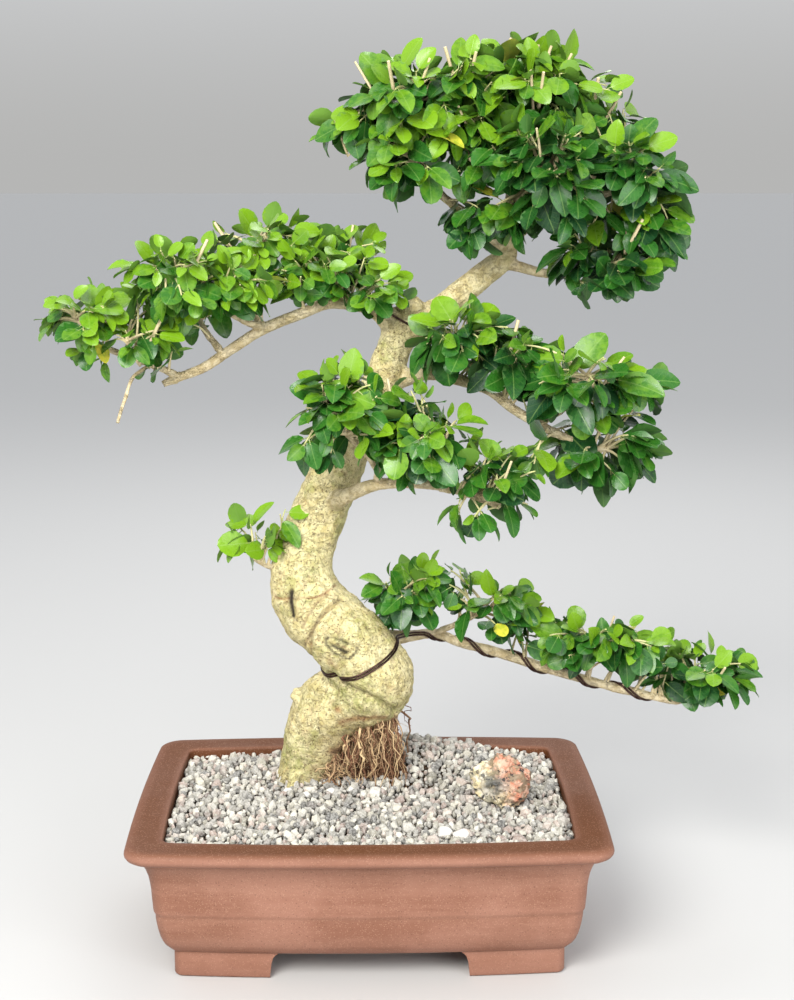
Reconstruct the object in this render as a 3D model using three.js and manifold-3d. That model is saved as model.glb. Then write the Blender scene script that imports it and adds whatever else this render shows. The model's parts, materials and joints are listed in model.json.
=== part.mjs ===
// A privet bonsai in an unglazed clay pot: curved trunk, six leafy pads, wired lower branch,
// gravel top dressing with a small rock. Millimetres, +Z up, the viewer's side is -Y.
// Everything is modelled around the pot's centre, standing on z = 0. The whole group is then moved
// so that its origin is at the middle of its own footprint, on the surface it stands on.
import * as THREE from "three";
import { mergeVertices } from "three/addons/utils/BufferGeometryUtils.js";
import Module from "manifold-3d";

const wasm = await Module();
wasm.setup();

// ---------------------------------------------------------------- driving dimensions

const GAP = 0.4; // between two touching pieces
const SLIVER = 0.05;

const POT = {
  length: 372, // over the lip, along X
  depth: 280, // over the lip, along Y
  height: 112,
  corner: 17, // outer corner radius of the lip
  longBow: 7, // how far the long sides bow outwards
  shortBow: 3,
  lip: 11, // thickness of the lip
  rimWidth: 27, // lip's outer edge to the opening
  floor: 10,
  footHeight: 20,
  footInset: 33, // from the lip's outer edge
  footWall: 18,
  footGapLong: 149, // between two feet along X
  footGapShort: 112, // between two feet along Y
  footSlope: 2, // how much the gap widens towards the ground, on each side
};
const DRAIN = { spacing: 170, radius: 12 };
const SCREEN = { beyondDrain: 7, thickness: 1.2, web: 3, holesPerSide: 3 };
const STAPLE = { wire: 0.8, reach: 20 };
const GRAVEL = {
  belowRim: 9, // of the flat part of the surface
  thickness: 11,
  mound: 19,
  moundCentre: [30, 88],
  moundSpread: [74, 55],
  grain: 1.3, // roughness of the surface
};
const ROCK = { centre: [104, -14], size: [25, 19, 24], sunk: 6 };
const TRUNK = { girth: 1, sides: 12, foldedPoints: 10 };
const BRANCH = { girth: 1, sides: 6, thinSides: 4 };
const WIRE = { radius: 1.1, apart: 2.8, turn: 44, sides: 4 };
const LEAF = { length: 36, width: 23, thickness: 1.2, stalk: 0.8 };
const BUD = 5; // radius of the swollen end of a branch that a shoot's leaves grow from

const CLAY = material(0xa06a55, 0.75);
const MESH_PLASTIC = material(0x20221f, 0.6);
const STEEL_WIRE = material(0x9a9a96, 0.35, 0.9);
const SOIL = material(0x3f3026, 0.95);
const GREY_STONE = material(0xa7a59e, 0.8);
const AGATE = material(0xd3b690, 0.6);
const PALE_STONE = material(0xd9d4c8, 0.7);
const BARK = material(0xbfae77, 0.85);
const ROOT = material(0x6b4a30, 0.9);
const DARK_WIRE = material(0x2c211e, 0.35, 0.8);
const LEAF_GREEN = material(0x3f8a2c, 0.45);

// ---------------------------------------------------------------- the tree's own lines

// Each line is a list of [x, y, z, radius]. Heights are above the flat gravel, x and y from the pot's centre.
// Those under the surface are drawn for a soil of this depth.
const DRAWN_DEPTH = 73;
const TRUNK_LINE = [
  [-60, 52, -20, 15],
  [-57, 51, 2, 19.5],
  [-50, 52, 22, 24.5],
  [-42, 52, 42, 28.5],
  [-31, 49, 63, 31.5],
  [-15, 42, 77, 31.5],
  [3, 30, 94, 34],
  [-17, 28, 128, 31],
  [-46, 38, 154, 29],
  [-55, 44, 183, 26],
  [-47, 48, 213, 23.5],
  [-36, 50, 241, 22.5],
  [-22, 50, 274, 21],
  [-5, 50, 307, 18.5],
  [11, 50, 333, 16.5],
  [19, 50, 359, 14.5],
  [28, 50, 383, 13.5],
  [35, 51, 396, 11.5],
];

const LIMBS = {
  cutSpur: [[-40, 46, 66, 20], [-67, 46, 80, 2.5]],
  leftLimb: [
    [26, 50, 380, 12], [4, 44, 398, 7.5], [-28, 38, 402, 5], [-53, 32, 394, 4.8], [-83, 26, 382, 4.6],
    [-109, 22, 366, 4.4], [-129, 18, 353, 4.1], [-153, 16, 344, 3.6], [-161, 15, 340, 2.6],
  ],
  leftTip: [[-148, 16, 346, 3], [-176, 12, 359, 2.6], [-207, 8, 371, 2.2], [-214, 6, 383, 1.8], [-226, 4, 393, 1.3]],
  leftLow: [[-174, 12, 358, 2.4], [-182, 0, 368, 1.8], [-186, -4, 376, 1.4]],
  leftFront: [[-83, 26, 383, 3], [-107, 8, 396, 2.4], [-141, -4, 421, 1.8], [-154, -8, 431, 1.3]],
  leftUpright: [[-86, 26, 384, 4], [-87, 42, 404, 4], [-83, 48, 422, 3.4], [-98, 52, 438, 2.6], [-80, 56, 452, 1.8]],
  leftBack: [[-115, 21, 364, 3], [-130, 42, 381, 2.4], [-143, 62, 403, 1.5]],
  leftInner: [[-28, 38, 402, 3.4], [-32, 56, 418, 2.6], [-40, 70, 434, 1.6]],
  crownLimb: [[30, 52, 376, 12.5], [64, 56, 399, 11.5], [85, 58, 416, 10.5], [106, 60, 433, 9.8], [114, 60, 443, 8]],
  crownTop: [[113, 60, 440, 7.5], [115, 56, 480, 5.8], [120, 58, 521, 4.6], [128, 60, 541, 4], [131, 60, 572, 2.4]],
  crownLow: [[112, 60, 432, 5], [146, 46, 424, 3.6], [173, 38, 427, 2.6], [195, 30, 420, 1.7]],
  crownRight: [[116, 60, 452, 5], [146, 50, 474, 4.2], [172, 42, 483, 3.2], [213, 28, 494, 1.8]],
  crownLeft: [[108, 60, 440, 5], [84, 50, 467, 3.8], [54, 36, 490, 2.8], [37, 28, 520, 1.8]],
  crownBack: [[115, 62, 446, 6], [126, 98, 482, 4.2], [142, 128, 520, 2.4]],
  crownShoulder: [[118, 58, 506, 4.2], [88, 40, 529, 3.2], [59, 28, 554, 2.2], [30, 20, 566, 1.4]],
  crownFront: [[117, 60, 466, 4.6], [124, 20, 490, 3.4], [140, -14, 505, 2.2]],
  rightLimb: [
    [20, 50, 338, 8], [46, 36, 346, 6], [66, 22, 344, 5], [94, 2, 337, 4.5], [113, -8, 323, 4.1],
    [134, -14, 311, 3.6], [164, -18, 296, 3], [184, -20, 293, 2],
  ],
  rightRise: [[132, -14, 312, 3], [158, -28, 333, 2.4], [166, -34, 352, 1.6]],
  rightNear: [[56, 29, 346, 4], [62, 18, 362, 2.8], [70, 8, 376, 1.8]],
  centreLimb: [[-30, 40, 240, 9], [-16, 12, 252, 6.5], [8, -14, 265, 4.9], [41, -30, 268, 4], [73, -42, 264, 3.5], [100, -50, 254, 2.4]],
  centreRise: [[8, -14, 266, 3.4], [4, -24, 284, 2.8], [-18, -34, 309, 2], [-37, -34, 324, 1.4]],
  centreMiddle: [[38, -29, 268, 3.2], [47, -40, 290, 2.4], [58, -46, 304, 1.6]],
  lowLimb: [
    [6, 46, 124, 9], [30, 56, 123, 5.4], [56, 62, 124, 4.2], [77, 62, 116, 4.2], [98, 60, 111, 4.4], [122, 58, 104, 4.4],
    [150, 55, 95, 4.3], [183, 52, 86, 4], [211, 48, 79, 3.6], [239, 46, 73, 3.3], [258, 44, 70, 2.9], [278, 42, 78, 2.2],
  ],
  lowFork: [[56, 61, 125, 2.6], [80, 52, 138, 2.2], [103, 44, 153, 1.6]],
  lowMiddle: [[183, 52, 86, 2.6], [186, 47, 106, 1.9], [186, 44, 120, 1.4]],
  lowInner: [[32, 55, 126, 3], [26, 50, 142, 2.4], [20, 46, 158, 1.6]],
  sprout: [[-58, 44, 193, 4], [-79, 36, 188, 2.2], [-92, 28, 196, 1.4]],
  leftFlare: [[-66, 44, 14, 7], [-72, 36, 4, 4], [-78, 30, -14, 3]],
  frontFlare: [[-60, 36, 14, 7], [-65, 25, 4, 4], [-68, 16, -14, 3]],
  buriedRootBack: [[-54, 58, 0, 13], [-58, 80, -28, 9], [-72, 90, -48, 5]],
  buriedRootRight: [[-52, 52, -6, 13], [-14, 46, -34, 10], [34, 34, -56, 5]],
  hangingTwig: [[-170, 13, 356, 1.7], [-183, 8, 347, 1.4], [-190, 6, 329, 1.3], [-196, 4, 311, 1.2]],
};

// Each leafy shoot: the line whose end carries it, the middle and half size of its leaves, how many.
const SHOOTS = {
  left_pad_tip: { on: "leftTip", middle: [-220, 4, 388], half: [38, 46, 30], leaves: 13 },
  left_pad_lower: { on: "leftLow", middle: [-176, -2, 374], half: [34, 40, 22], leaves: 11 },
  left_pad_front: { on: "leftFront", middle: [-146, -12, 424], half: [46, 42, 34], leaves: 14 },
  left_pad_top: { on: "leftUpright", middle: [-82, 50, 440], half: [56, 52, 34], leaves: 18 },
  left_pad_back: { on: "leftBack", middle: [-146, 66, 404], half: [54, 42, 36], leaves: 14 },
  left_pad_inner: { on: "leftInner", middle: [-22, 60, 428], half: [52, 52, 32], leaves: 16 },
  crown_top: { on: "crownTop", middle: [116, 58, 568], half: [74, 66, 30], leaves: 20 },
  crown_left: { on: "crownLeft", middle: [30, 28, 520], half: [54, 56, 44], leaves: 16 },
  crown_shoulder: { on: "crownShoulder", middle: [26, 24, 566], half: [58, 50, 30], leaves: 14 },
  crown_right: { on: "crownRight", middle: [206, 30, 500], half: [52, 58, 48], leaves: 18 },
  crown_low: { on: "crownLow", middle: [190, 32, 432], half: [52, 50, 38], leaves: 16 },
  crown_front: { on: "crownFront", middle: [138, -12, 500], half: [56, 40, 54], leaves: 18 },
  crown_back: { on: "crownBack", middle: [140, 122, 520], half: [66, 40, 56], leaves: 16 },
  right_pad_near: { on: "rightNear", middle: [64, 8, 372], half: [48, 40, 30], leaves: 13 },
  right_pad_outer: { on: "rightLimb", middle: [182, -18, 300], half: [50, 46, 42], leaves: 16 },
  right_pad_rise: { on: "rightRise", middle: [162, -32, 350], half: [46, 40, 26], leaves: 12 },
  centre_pad_left: { on: "centreRise", middle: [-36, -32, 322], half: [50, 42, 42], leaves: 14 },
  centre_pad_right: { on: "centreLimb", middle: [92, -48, 262], half: [50, 40, 36], leaves: 14 },
  centre_pad_middle: { on: "centreMiddle", middle: [44, -44, 302], half: [46, 38, 28], leaves: 12 },
  low_pad_inner: { on: "lowInner", middle: [34, 46, 160], half: [46, 40, 24], leaves: 11 },
  low_pad_fork: { on: "lowFork", middle: [110, 44, 148], half: [42, 42, 24], leaves: 11 },
  low_pad_middle: { on: "lowMiddle", middle: [184, 46, 116], half: [50, 44, 26], leaves: 13 },
  low_pad_tip: { on: "lowLimb", middle: [274, 42, 88], half: [54, 46, 26], leaves: 14 },
  trunk_sprout: { on: "sprout", middle: [-96, 28, 192], half: [26, 28, 26], leaves: 7 },
};

// The larger stones that lie loose on the gravel: [x, y, radius].
const PEBBLES = [
  [-66, 18, 4.5], [-52, 8, 4.4], [-30, 12, 4.8], [-14, 14, 4.6],
  [4, 6, 6.4], [22, -22, 4.6], [58, -78, 6.6], [70, -84, 7],
];

// ---------------------------------------------------------------- small tools

function material(color, roughness, metalness = 0) {
  return new THREE.MeshStandardMaterial({ color, roughness, metalness });
}

// A repeatable source of numbers from 0 to 1.
function dice(seed) {
  let state = seed * 2654435761 + 12345;
  return () => {
    state = (Math.imul(state, 1664525) + 1013904223) >>> 0;
    return state / 4294967296;
  };
}

// Only the positions are kept, so that shared vertices merge into one closed surface.
function solidOf(geometry) {
  const bare = new THREE.BufferGeometry().setAttribute("position", geometry.getAttribute("position"));
  if (geometry.index) bare.setIndex(geometry.index);
  const merged = mergeVertices(bare, 1e-3);
  return new wasm.Manifold(
    new wasm.Mesh({
      numProp: 3,
      vertProperties: new Float32Array(merged.attributes.position.array),
      triVerts: new Uint32Array(merged.index.array),
    }),
  );
}

function geometryOf(solid) {
  const mesh = solid.getMesh();
  const corners = new Float32Array(mesh.numVert * 3);
  for (let i = 0; i < mesh.numVert; i++) {
    corners.set(mesh.vertProperties.subarray(i * mesh.numProp, i * mesh.numProp + 3), i * 3);
  }
  return new THREE.BufferGeometry()
    .setAttribute("position", new THREE.BufferAttribute(corners, 3))
    .setIndex(new THREE.BufferAttribute(mesh.triVerts, 1));
}

const join = (solids) => solids.reduce((whole, next) => whole.add(next));
const largest = (solid) => solid.decompose().sort((a, b) => b.volume() - a.volume())[0];

// Closed surface through a list of rings that all have the same number of points.
// With a tip, the last ring closes in that one point.
function loft(rings, tip = null) {
  const count = rings[0].length;
  const points = [...rings.flat(), ...(tip ? [tip] : [])];
  const top = (rings.length - 1) * count;
  const faces = [];
  for (let r = 0; r + 1 < rings.length; r++) {
    for (let i = 0; i < count; i++) {
      const a = r * count + i;
      const b = r * count + ((i + 1) % count);
      faces.push(a, b, b + count, a, b + count, a + count);
    }
  }
  for (let i = 1; i + 1 < count; i++) faces.push(0, i + 1, i);
  for (let i = 1; i + 1 < count && !tip; i++) faces.push(top, top + i, top + i + 1);
  for (let i = 0; i < count && tip; i++) faces.push(points.length - 1, top + i, top + ((i + 1) % count));
  return solidOf(new THREE.BufferGeometry().setFromPoints(points).setIndex(faces));
}

// ---------------------------------------------------------------- the pot

// Outline of the pot at one height: a rectangle with round corners and bowed sides, inset from the lip.
function potOutline(inset, z, corner = POT.corner) {
  const [cornerSteps, sideSteps] = [4, 4];
  const halfX = POT.length / 2 - inset - POT.shortBow;
  const halfY = POT.depth / 2 - inset - POT.longBow;
  const radius = Math.max(corner - inset * 0.35, 6);
  const flat = [];
  for (let quarter = 0; quarter < 4; quarter++) {
    const sx = quarter === 0 || quarter === 3 ? 1 : -1;
    const sy = quarter < 2 ? 1 : -1;
    for (let i = 0; i <= cornerSteps; i++) {
      const angle = (Math.PI / 2) * (quarter + i / cornerSteps);
      const x = sx * (halfX - radius) + radius * Math.cos(angle);
      const y = sy * (halfY - radius) + radius * Math.sin(angle);
      flat.push([x, y]);
    }
    const next = [[-1, 1], [-1, -1], [1, -1], [1, 1]][quarter];
    const from = flat[flat.length - 1];
    const to = quarter % 2 === 0 ? [next[0] * (halfX - radius), from[1]] : [from[0], next[1] * (halfY - radius)];
    for (let i = 1; i < sideSteps; i++) {
      const t = i / sideSteps;
      flat.push([from[0] + (to[0] - from[0]) * t, from[1] + (to[1] - from[1]) * t]);
    }
  }
  return flat.map(([x, y]) => {
    const bowY = POT.longBow * (1 - (x / halfX) ** 2) * (y / halfY);
    const bowX = POT.shortBow * (1 - (y / halfY) ** 2) * (x / halfX);
    return new THREE.Vector3(x + bowX, y + bowY, z);
  });
}

// The hollow inside the pot, made smaller all round by clearance.
function potCavity(clearance, top) {
  const low = POT.footHeight + POT.floor + clearance;
  const inset = POT.rimWidth + clearance;
  return loft([
    potOutline(inset + 10, low, 18),
    potOutline(inset + 4, low + 5, 18),
    potOutline(inset + 1, low + 16, 18),
    potOutline(inset, POT.height - 12, 18),
    potOutline(inset, top, 18),
  ]);
}

// A prism that cuts the space between two feet, wider at the ground.
function footGap(width, through) {
  const half = width / 2;
  const shape = new THREE.Shape([
    new THREE.Vector2(-half - POT.footSlope, -1),
    new THREE.Vector2(half + POT.footSlope, -1),
    new THREE.Vector2(half + 1, POT.footHeight - 5),
    new THREE.Vector2(half - 3, POT.footHeight),
    new THREE.Vector2(-half + 3, POT.footHeight),
    new THREE.Vector2(-half - 1, POT.footHeight - 5),
  ]);
  const prism = new THREE.ExtrudeGeometry(shape, { depth: through, bevelEnabled: false });
  return prism.translate(0, 0, -through / 2).rotateX(Math.PI / 2);
}

// The staple's legs stand just inside the drain hole, each in the middle of a hole of the screen.
const stapleLeg = DRAIN.radius - GAP - 2 * STAPLE.wire;
const screenSide = 2 * (DRAIN.radius + SCREEN.beyondDrain);

function drainPlaces() {
  return [-1, 1].map((side) => (side * DRAIN.spacing) / 2);
}

function makePot() {
  const { height, lip, footHeight, footInset, footWall } = POT;
  const under = height - lip;
  // [inset, height] up the outside, from the foot line to the lip's top.
  const profile = [
    [footInset + 1, footHeight], [footInset - 1, footHeight + 3], [24.5, footHeight + 10],
    [21, footHeight + 24], [20.2, under * 0.55], [18.8, under * 0.56], [18, under * 0.68],
    [16.5, under * 0.86], [13.5, under - 4], [12, under], [4, under + 0.5],
    [1, under + 2.5], [0, under + 5.5], [1, height - 2], [4, height],
  ];
  const body = loft(profile.map(([inset, z]) => potOutline(inset, z)));
  const footRing = loft([potOutline(footInset + 1, 0), potOutline(footInset, 2), potOutline(footInset, footHeight + 1)]);
  const footHollow = loft([potOutline(footInset + footWall, -1), potOutline(footInset + footWall, footHeight)]);
  const gaps = [footGap(POT.footGapLong, POT.depth), footGap(POT.footGapShort, POT.length).rotateZ(Math.PI / 2)];
  const feet = [footHollow, ...gaps.map(solidOf)].reduce((left, cut) => left.subtract(cut), footRing);
  const drains = drainPlaces().map((x) => {
    const hole = new THREE.CylinderGeometry(DRAIN.radius, DRAIN.radius, POT.floor + 20, 20);
    return solidOf(hole.rotateX(Math.PI / 2).translate(x, 0, footHeight + POT.floor / 2));
  });
  return [potCavity(0, height + 5), ...drains].reduce((left, cut) => left.subtract(cut), body.add(feet));
}

function makeScreen(x) {
  const { thickness, web, holesPerSide } = SCREEN;
  const low = POT.footHeight + POT.floor + GAP;
  const block = (u, v, width, height) =>
    solidOf(new THREE.BoxGeometry(width, width, height).translate(x + u, v, low + thickness / 2));
  const places = Array.from({ length: holesPerSide }, (_, i) => (i - (holesPerSide - 1) / 2) * stapleLeg);
  const holes = places.flatMap((u) => places.map((v) => block(u, v, stapleLeg - web, thickness + 2)));
  return block(0, 0, screenSide, thickness).subtract(join(holes));
}

// A round bar of few sides along a curve, closed at both ends.
function bar(curve, radius, sides, steps) {
  const section = new THREE.Shape();
  for (let i = 0; i < sides; i++) {
    const angle = (2 * Math.PI * i) / sides;
    section[i ? "lineTo" : "moveTo"](radius * Math.cos(angle), radius * Math.sin(angle));
  }
  return solidOf(new THREE.ExtrudeGeometry(section, { extrudePath: curve, steps, bevelEnabled: false }));
}

// Wire staple that holds a screen: over the mesh, down through two of its holes, bent out under the floor.
function makeStaple(x) {
  const over = POT.footHeight + POT.floor + GAP + SCREEN.thickness + GAP + STAPLE.wire;
  const under = POT.footHeight - GAP - STAPLE.wire;
  const leg = stapleLeg;
  const half = [[STAPLE.reach, under], [leg + 2, under], [leg, under + 2], [leg, over - 2], [leg - 2, over]];
  const line = [...half, ...half.map(([u, z]) => [-u, z]).reverse()];
  const path = new THREE.CurvePath();
  const points = line.map(([u, z]) => new THREE.Vector3(x + u, 0, z));
  points.slice(1).forEach((p, i) => path.add(new THREE.LineCurve3(points[i], p)));
  return bar(new THREE.CatmullRomCurve3(points, false, "catmullrom", 0.2), STAPLE.wire, 6, 26);
}

// ---------------------------------------------------------------- soil, gravel, stones

const gravelLevel = POT.height - GRAVEL.belowRim;

function gravelTop(x, y) {
  const u = (x - GRAVEL.moundCentre[0]) / GRAVEL.moundSpread[0];
  const v = (y - GRAVEL.moundCentre[1]) / GRAVEL.moundSpread[1];
  return gravelLevel + GRAVEL.mound * Math.exp(-u * u - v * v);
}

// Closed slab between two height functions, over the pot's opening.
function slab(top, bottom, nx, ny) {
  const [halfX, halfY] = [POT.length / 2 - 12, POT.depth / 2 - 10];
  const sheet = (height) => {
    const plane = new THREE.PlaneGeometry(2 * halfX, 2 * halfY, nx, ny);
    const at = plane.attributes.position;
    for (let i = 0; i < at.count; i++) at.setZ(i, height(at.getX(i), at.getY(i)));
    return plane;
  };
  const [upper, lower] = [sheet(top), sheet(bottom)];
  const count = upper.attributes.position.count;
  const positions = [...upper.attributes.position.array, ...lower.attributes.position.array];
  const faces = [...upper.index.array];
  for (let i = 0; i < lower.index.count; i += 3) {
    const [a, b, c] = lower.index.array.slice(i, i + 3);
    faces.push(a + count, c + count, b + count);
  }
  const at = (i, j) => j * (nx + 1) + i;
  const edge = [];
  for (let i = 0; i < nx; i++) edge.push(at(i, ny));
  for (let j = ny; j > 0; j--) edge.push(at(nx, j));
  for (let i = nx; i > 0; i--) edge.push(at(i, 0));
  for (let j = 0; j < ny; j++) edge.push(at(0, j));
  edge.forEach((a, k) => {
    const b = edge[(k + 1) % edge.length];
    faces.push(a, a + count, b + count, a, b + count, b);
  });
  const geometry = new THREE.BufferGeometry().setIndex(faces);
  return solidOf(geometry.setAttribute("position", new THREE.Float32BufferAttribute(positions, 3)));
}

// A lumpy closed stone: an icosahedron pushed in and out by a few waves, made larger all round by grow.
function stone(centre, size, detail, seed, lumps, grow = 0) {
  const roll = dice(seed);
  const waves = Array.from({ length: 5 }, () => ({
    way: new THREE.Vector3(roll() - 0.5, roll() - 0.5, roll() - 0.5).multiplyScalar(7),
    phase: roll() * 6,
  }));
  const ball = new THREE.IcosahedronGeometry(1, detail);
  const at = ball.attributes.position;
  const p = new THREE.Vector3();
  for (let i = 0; i < at.count; i++) {
    p.fromBufferAttribute(at, i);
    const swell = 1 + lumps * waves.reduce((sum, w) => sum + Math.sin(w.way.dot(p) + w.phase), 0);
    p.set(p.x * (size[0] * swell + grow), p.y * (size[1] * swell + grow), p.z * (size[2] * swell + grow));
    at.setXYZ(i, centre[0] + p.x, centre[1] + p.y, centre[2] + p.z);
  }
  return solidOf(ball);
}

function makeRock(grow = 0) {
  const [x, y] = ROCK.centre;
  return stone([x, y, gravelTop(x, y) + ROCK.size[2] - ROCK.sunk], ROCK.size, 3, 5, 0.045, grow);
}

// A loose pebble lies where it is listed, or just outside the trunk where that has grown over it.
function makePebble([x, y, radius], seed, grow = 0) {
  const size = [radius, radius * 0.85, radius * 0.7];
  const lift = size[2] * 0.75;
  const foot = fromSoil([TRUNK_LINE[1][0], TRUNK_LINE[1][1], 0]);
  const away = new THREE.Vector3(x, y, foot.z).sub(foot).normalize();
  const place = new THREE.Vector3(x, y, gravelTop(x, y) + lift);
  while (distanceToWood(place) < radius * 0.9) place.addScaledVector(away, 0.5);
  return stone([place.x, place.y, gravelTop(place.x, place.y) + lift], size, 1, seed, 0.04, grow);
}

// Matted fine roots under the raised side of the trunk.
function makeRootClump(grow = 0) {
  return stone([4, 50, gravelLevel + 3], [36, 27, 33], 2, 9, 0.02, grow);
}

// ---------------------------------------------------------------- wood

// Heights under the gravel's surface follow the depth of the soil, so that roots end inside it.
const soilDepth = gravelLevel - POT.footHeight - POT.floor;
const fromSoil = ([x, y, z]) => new THREE.Vector3(x, y, gravelLevel + (z < 0 ? (z * soilDepth) / DRAWN_DEPTH : z));

// Round-ended taper between two balls, as one lathe turned to lie along the line between them.
function taper(a, ra, b, rb, sides) {
  const along = new THREE.Vector3().subVectors(b, a);
  const length = along.length();
  const onBall = (radius, degrees, up) => {
    const angle = THREE.MathUtils.degToRad(degrees);
    return new THREE.Vector2(radius * Math.cos(angle), up + radius * Math.sin(angle));
  };
  const profile = [
    new THREE.Vector2(0, -ra),
    ...[-50, 0].map((angle) => onBall(ra, angle, 0)),
    ...[0, 50].map((angle) => onBall(rb, angle, length)),
    new THREE.Vector2(0, length + rb),
  ];
  const turn = new THREE.Quaternion().setFromUnitVectors(new THREE.Vector3(0, 1, 0), along.normalize());
  return solidOf(new THREE.LatheGeometry(profile, sides).applyQuaternion(turn).translate(a.x, a.y, a.z));
}

// The heavy folded base is a chain of tapers, the slimmer part above it one tube.
function makeTrunk(grow) {
  const folds = TRUNK_LINE.slice(0, TRUNK.foldedPoints);
  const balls = folds.map((p) => ({ at: fromSoil(p), r: p[3] * TRUNK.girth + grow }));
  const base = join(balls.slice(1).map((b, i) => taper(balls[i].at, balls[i].r, b.at, b.r, TRUNK.sides)));
  return base.add(makeTube(TRUNK_LINE.slice(TRUNK.foldedPoints - 1), TRUNK.girth, TRUNK.sides, grow));
}

// Tapered tube through a line's points.
function makeTube(line, girth, sides, grow) {
  const curve = new THREE.CatmullRomCurve3(line.map(fromSoil), false, "centripetal");
  const steps = Math.ceil((line.length - 1) * 1.5);
  const frames = curve.computeFrenetFrames(steps, false);
  const rings = [];
  for (let i = 0; i <= steps; i++) {
    const t = i / steps;
    const along = curve.getUtoTmapping(t) * (line.length - 1);
    const k = Math.min(Math.floor(along), line.length - 2);
    const radius = THREE.MathUtils.lerp(line[k][3], line[k + 1][3], along - k) * girth + grow;
    const centre = curve.getPointAt(t).addScaledVector(frames.tangents[i], i === steps ? grow : 0);
    rings.push(
      Array.from({ length: sides }, (_, s) => {
        const angle = (2 * Math.PI * s) / sides;
        return centre
          .clone()
          .addScaledVector(frames.normals[i], radius * Math.cos(angle))
          .addScaledVector(frames.binormals[i], radius * Math.sin(angle));
      }),
    );
  }
  return loft(rings);
}

function makeLimb(line, grow) {
  return makeTube(line, BRANCH.girth, line[0][3] > 4.5 ? BRANCH.sides : BRANCH.thinSides, grow);
}

function makeWood(grow = 0) {
  return join([makeTrunk(grow), ...Object.values(LIMBS).map((line) => makeLimb(line, grow))]);
}

// Distance from a point to the wood's surface, from its lines and radii.
function distanceToWood(point) {
  let nearest = Infinity;
  const lines = [[TRUNK_LINE, TRUNK.girth], ...Object.values(LIMBS).map((line) => [line, BRANCH.girth])];
  for (const [line, girth] of lines) {
    for (let i = 0; i + 1 < line.length; i++) {
      const [a, b] = [fromSoil(line[i]), fromSoil(line[i + 1])];
      const segment = new THREE.Line3(a, b);
      const t = segment.closestPointToPointParameter(point, true);
      const radius = THREE.MathUtils.lerp(line[i][3], line[i + 1][3], t) * girth;
      nearest = Math.min(nearest, point.distanceTo(segment.at(t, new THREE.Vector3())) - radius);
    }
  }
  return nearest;
}

// ---------------------------------------------------------------- wires

// Moves a point straight away from centre until it is clear of the wood.
function pushOut(point, centre, clearance) {
  const away = point.clone().sub(centre).normalize();
  const moved = centre.clone();
  for (let i = 0; i < 200 && distanceToWood(moved) < clearance; i++) moved.addScaledVector(away, 0.5);
  return moved;
}

// Middle line of the pair of wires: once round the trunk's fold, then in a helix along the low limb.
function wirePath() {
  const clearance = WIRE.radius + GAP + 0.8;
  const places = [];
  const fold = fromSoil([-8, 30, 116]);
  const across = new THREE.Vector3(0.88, 0.1, 0.42).normalize();
  const front = new THREE.Vector3(0, -1, -0.25).normalize();
  for (let degrees = 195; degrees >= 0; degrees -= 15) {
    const angle = THREE.MathUtils.degToRad(degrees);
    const way = across.clone().multiplyScalar(Math.cos(angle)).addScaledVector(front, Math.sin(angle));
    places.push({ centre: fold, way });
  }
  const limb = new THREE.CatmullRomCurve3(LIMBS.lowLimb.slice(1).map(fromSoil), false, "centripetal");
  const length = limb.getLength();
  const stepsPerTurn = 9;
  for (let s = 14; s < length - 34; s += WIRE.turn / stepsPerTurn) {
    const centre = limb.getPointAt(s / length);
    const tangent = limb.getTangentAt(s / length);
    const up = new THREE.Vector3(0, 0, 1).addScaledVector(tangent, -tangent.z).normalize();
    const sideways = new THREE.Vector3().crossVectors(tangent, up);
    const angle = (2 * Math.PI * (s - 14)) / WIRE.turn + 0.9;
    places.push({ centre, way: up.multiplyScalar(Math.cos(angle)).addScaledVector(sideways, Math.sin(angle)) });
  }
  return places.map(({ centre, way }) => ({ way, at: pushOut(centre.clone().add(way), centre, clearance) }));
}

// One strand of the pair, beside the middle line on the wood's surface.
function makeBranchWire(side) {
  const path = wirePath();
  const points = path.map(({ at, way }, i) => {
    const before = path[Math.max(i - 1, 0)].at;
    const after = path[Math.min(i + 1, path.length - 1)].at;
    const beside = new THREE.Vector3().subVectors(after, before).cross(way).normalize();
    return at.clone().addScaledVector(beside, (side * WIRE.apart) / 2);
  });
  const curve = new THREE.CatmullRomCurve3(points, false, "centripetal");
  return bar(curve, WIRE.radius, WIRE.sides, Math.round(points.length * 1.6));
}

// Short tie round the stub at the top of the trunk.
function makeForkTie() {
  const centre = fromSoil([27, 50, 388]);
  const lean = new THREE.Quaternion().setFromUnitVectors(new THREE.Vector3(0, 0, 1), new THREE.Vector3(0.5, 0, 0.86));
  const points = [];
  for (let degrees = 200; degrees <= 430; degrees += 23) {
    const angle = THREE.MathUtils.degToRad(degrees);
    const way = new THREE.Vector3(Math.cos(angle), Math.sin(angle), 0).applyQuaternion(lean);
    points.push(pushOut(centre.clone().add(way), centre, WIRE.radius + GAP + 0.3));
  }
  return bar(new THREE.CatmullRomCurve3(points, false, "centripetal"), WIRE.radius, WIRE.sides, 22);
}

// ---------------------------------------------------------------- leaves

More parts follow.
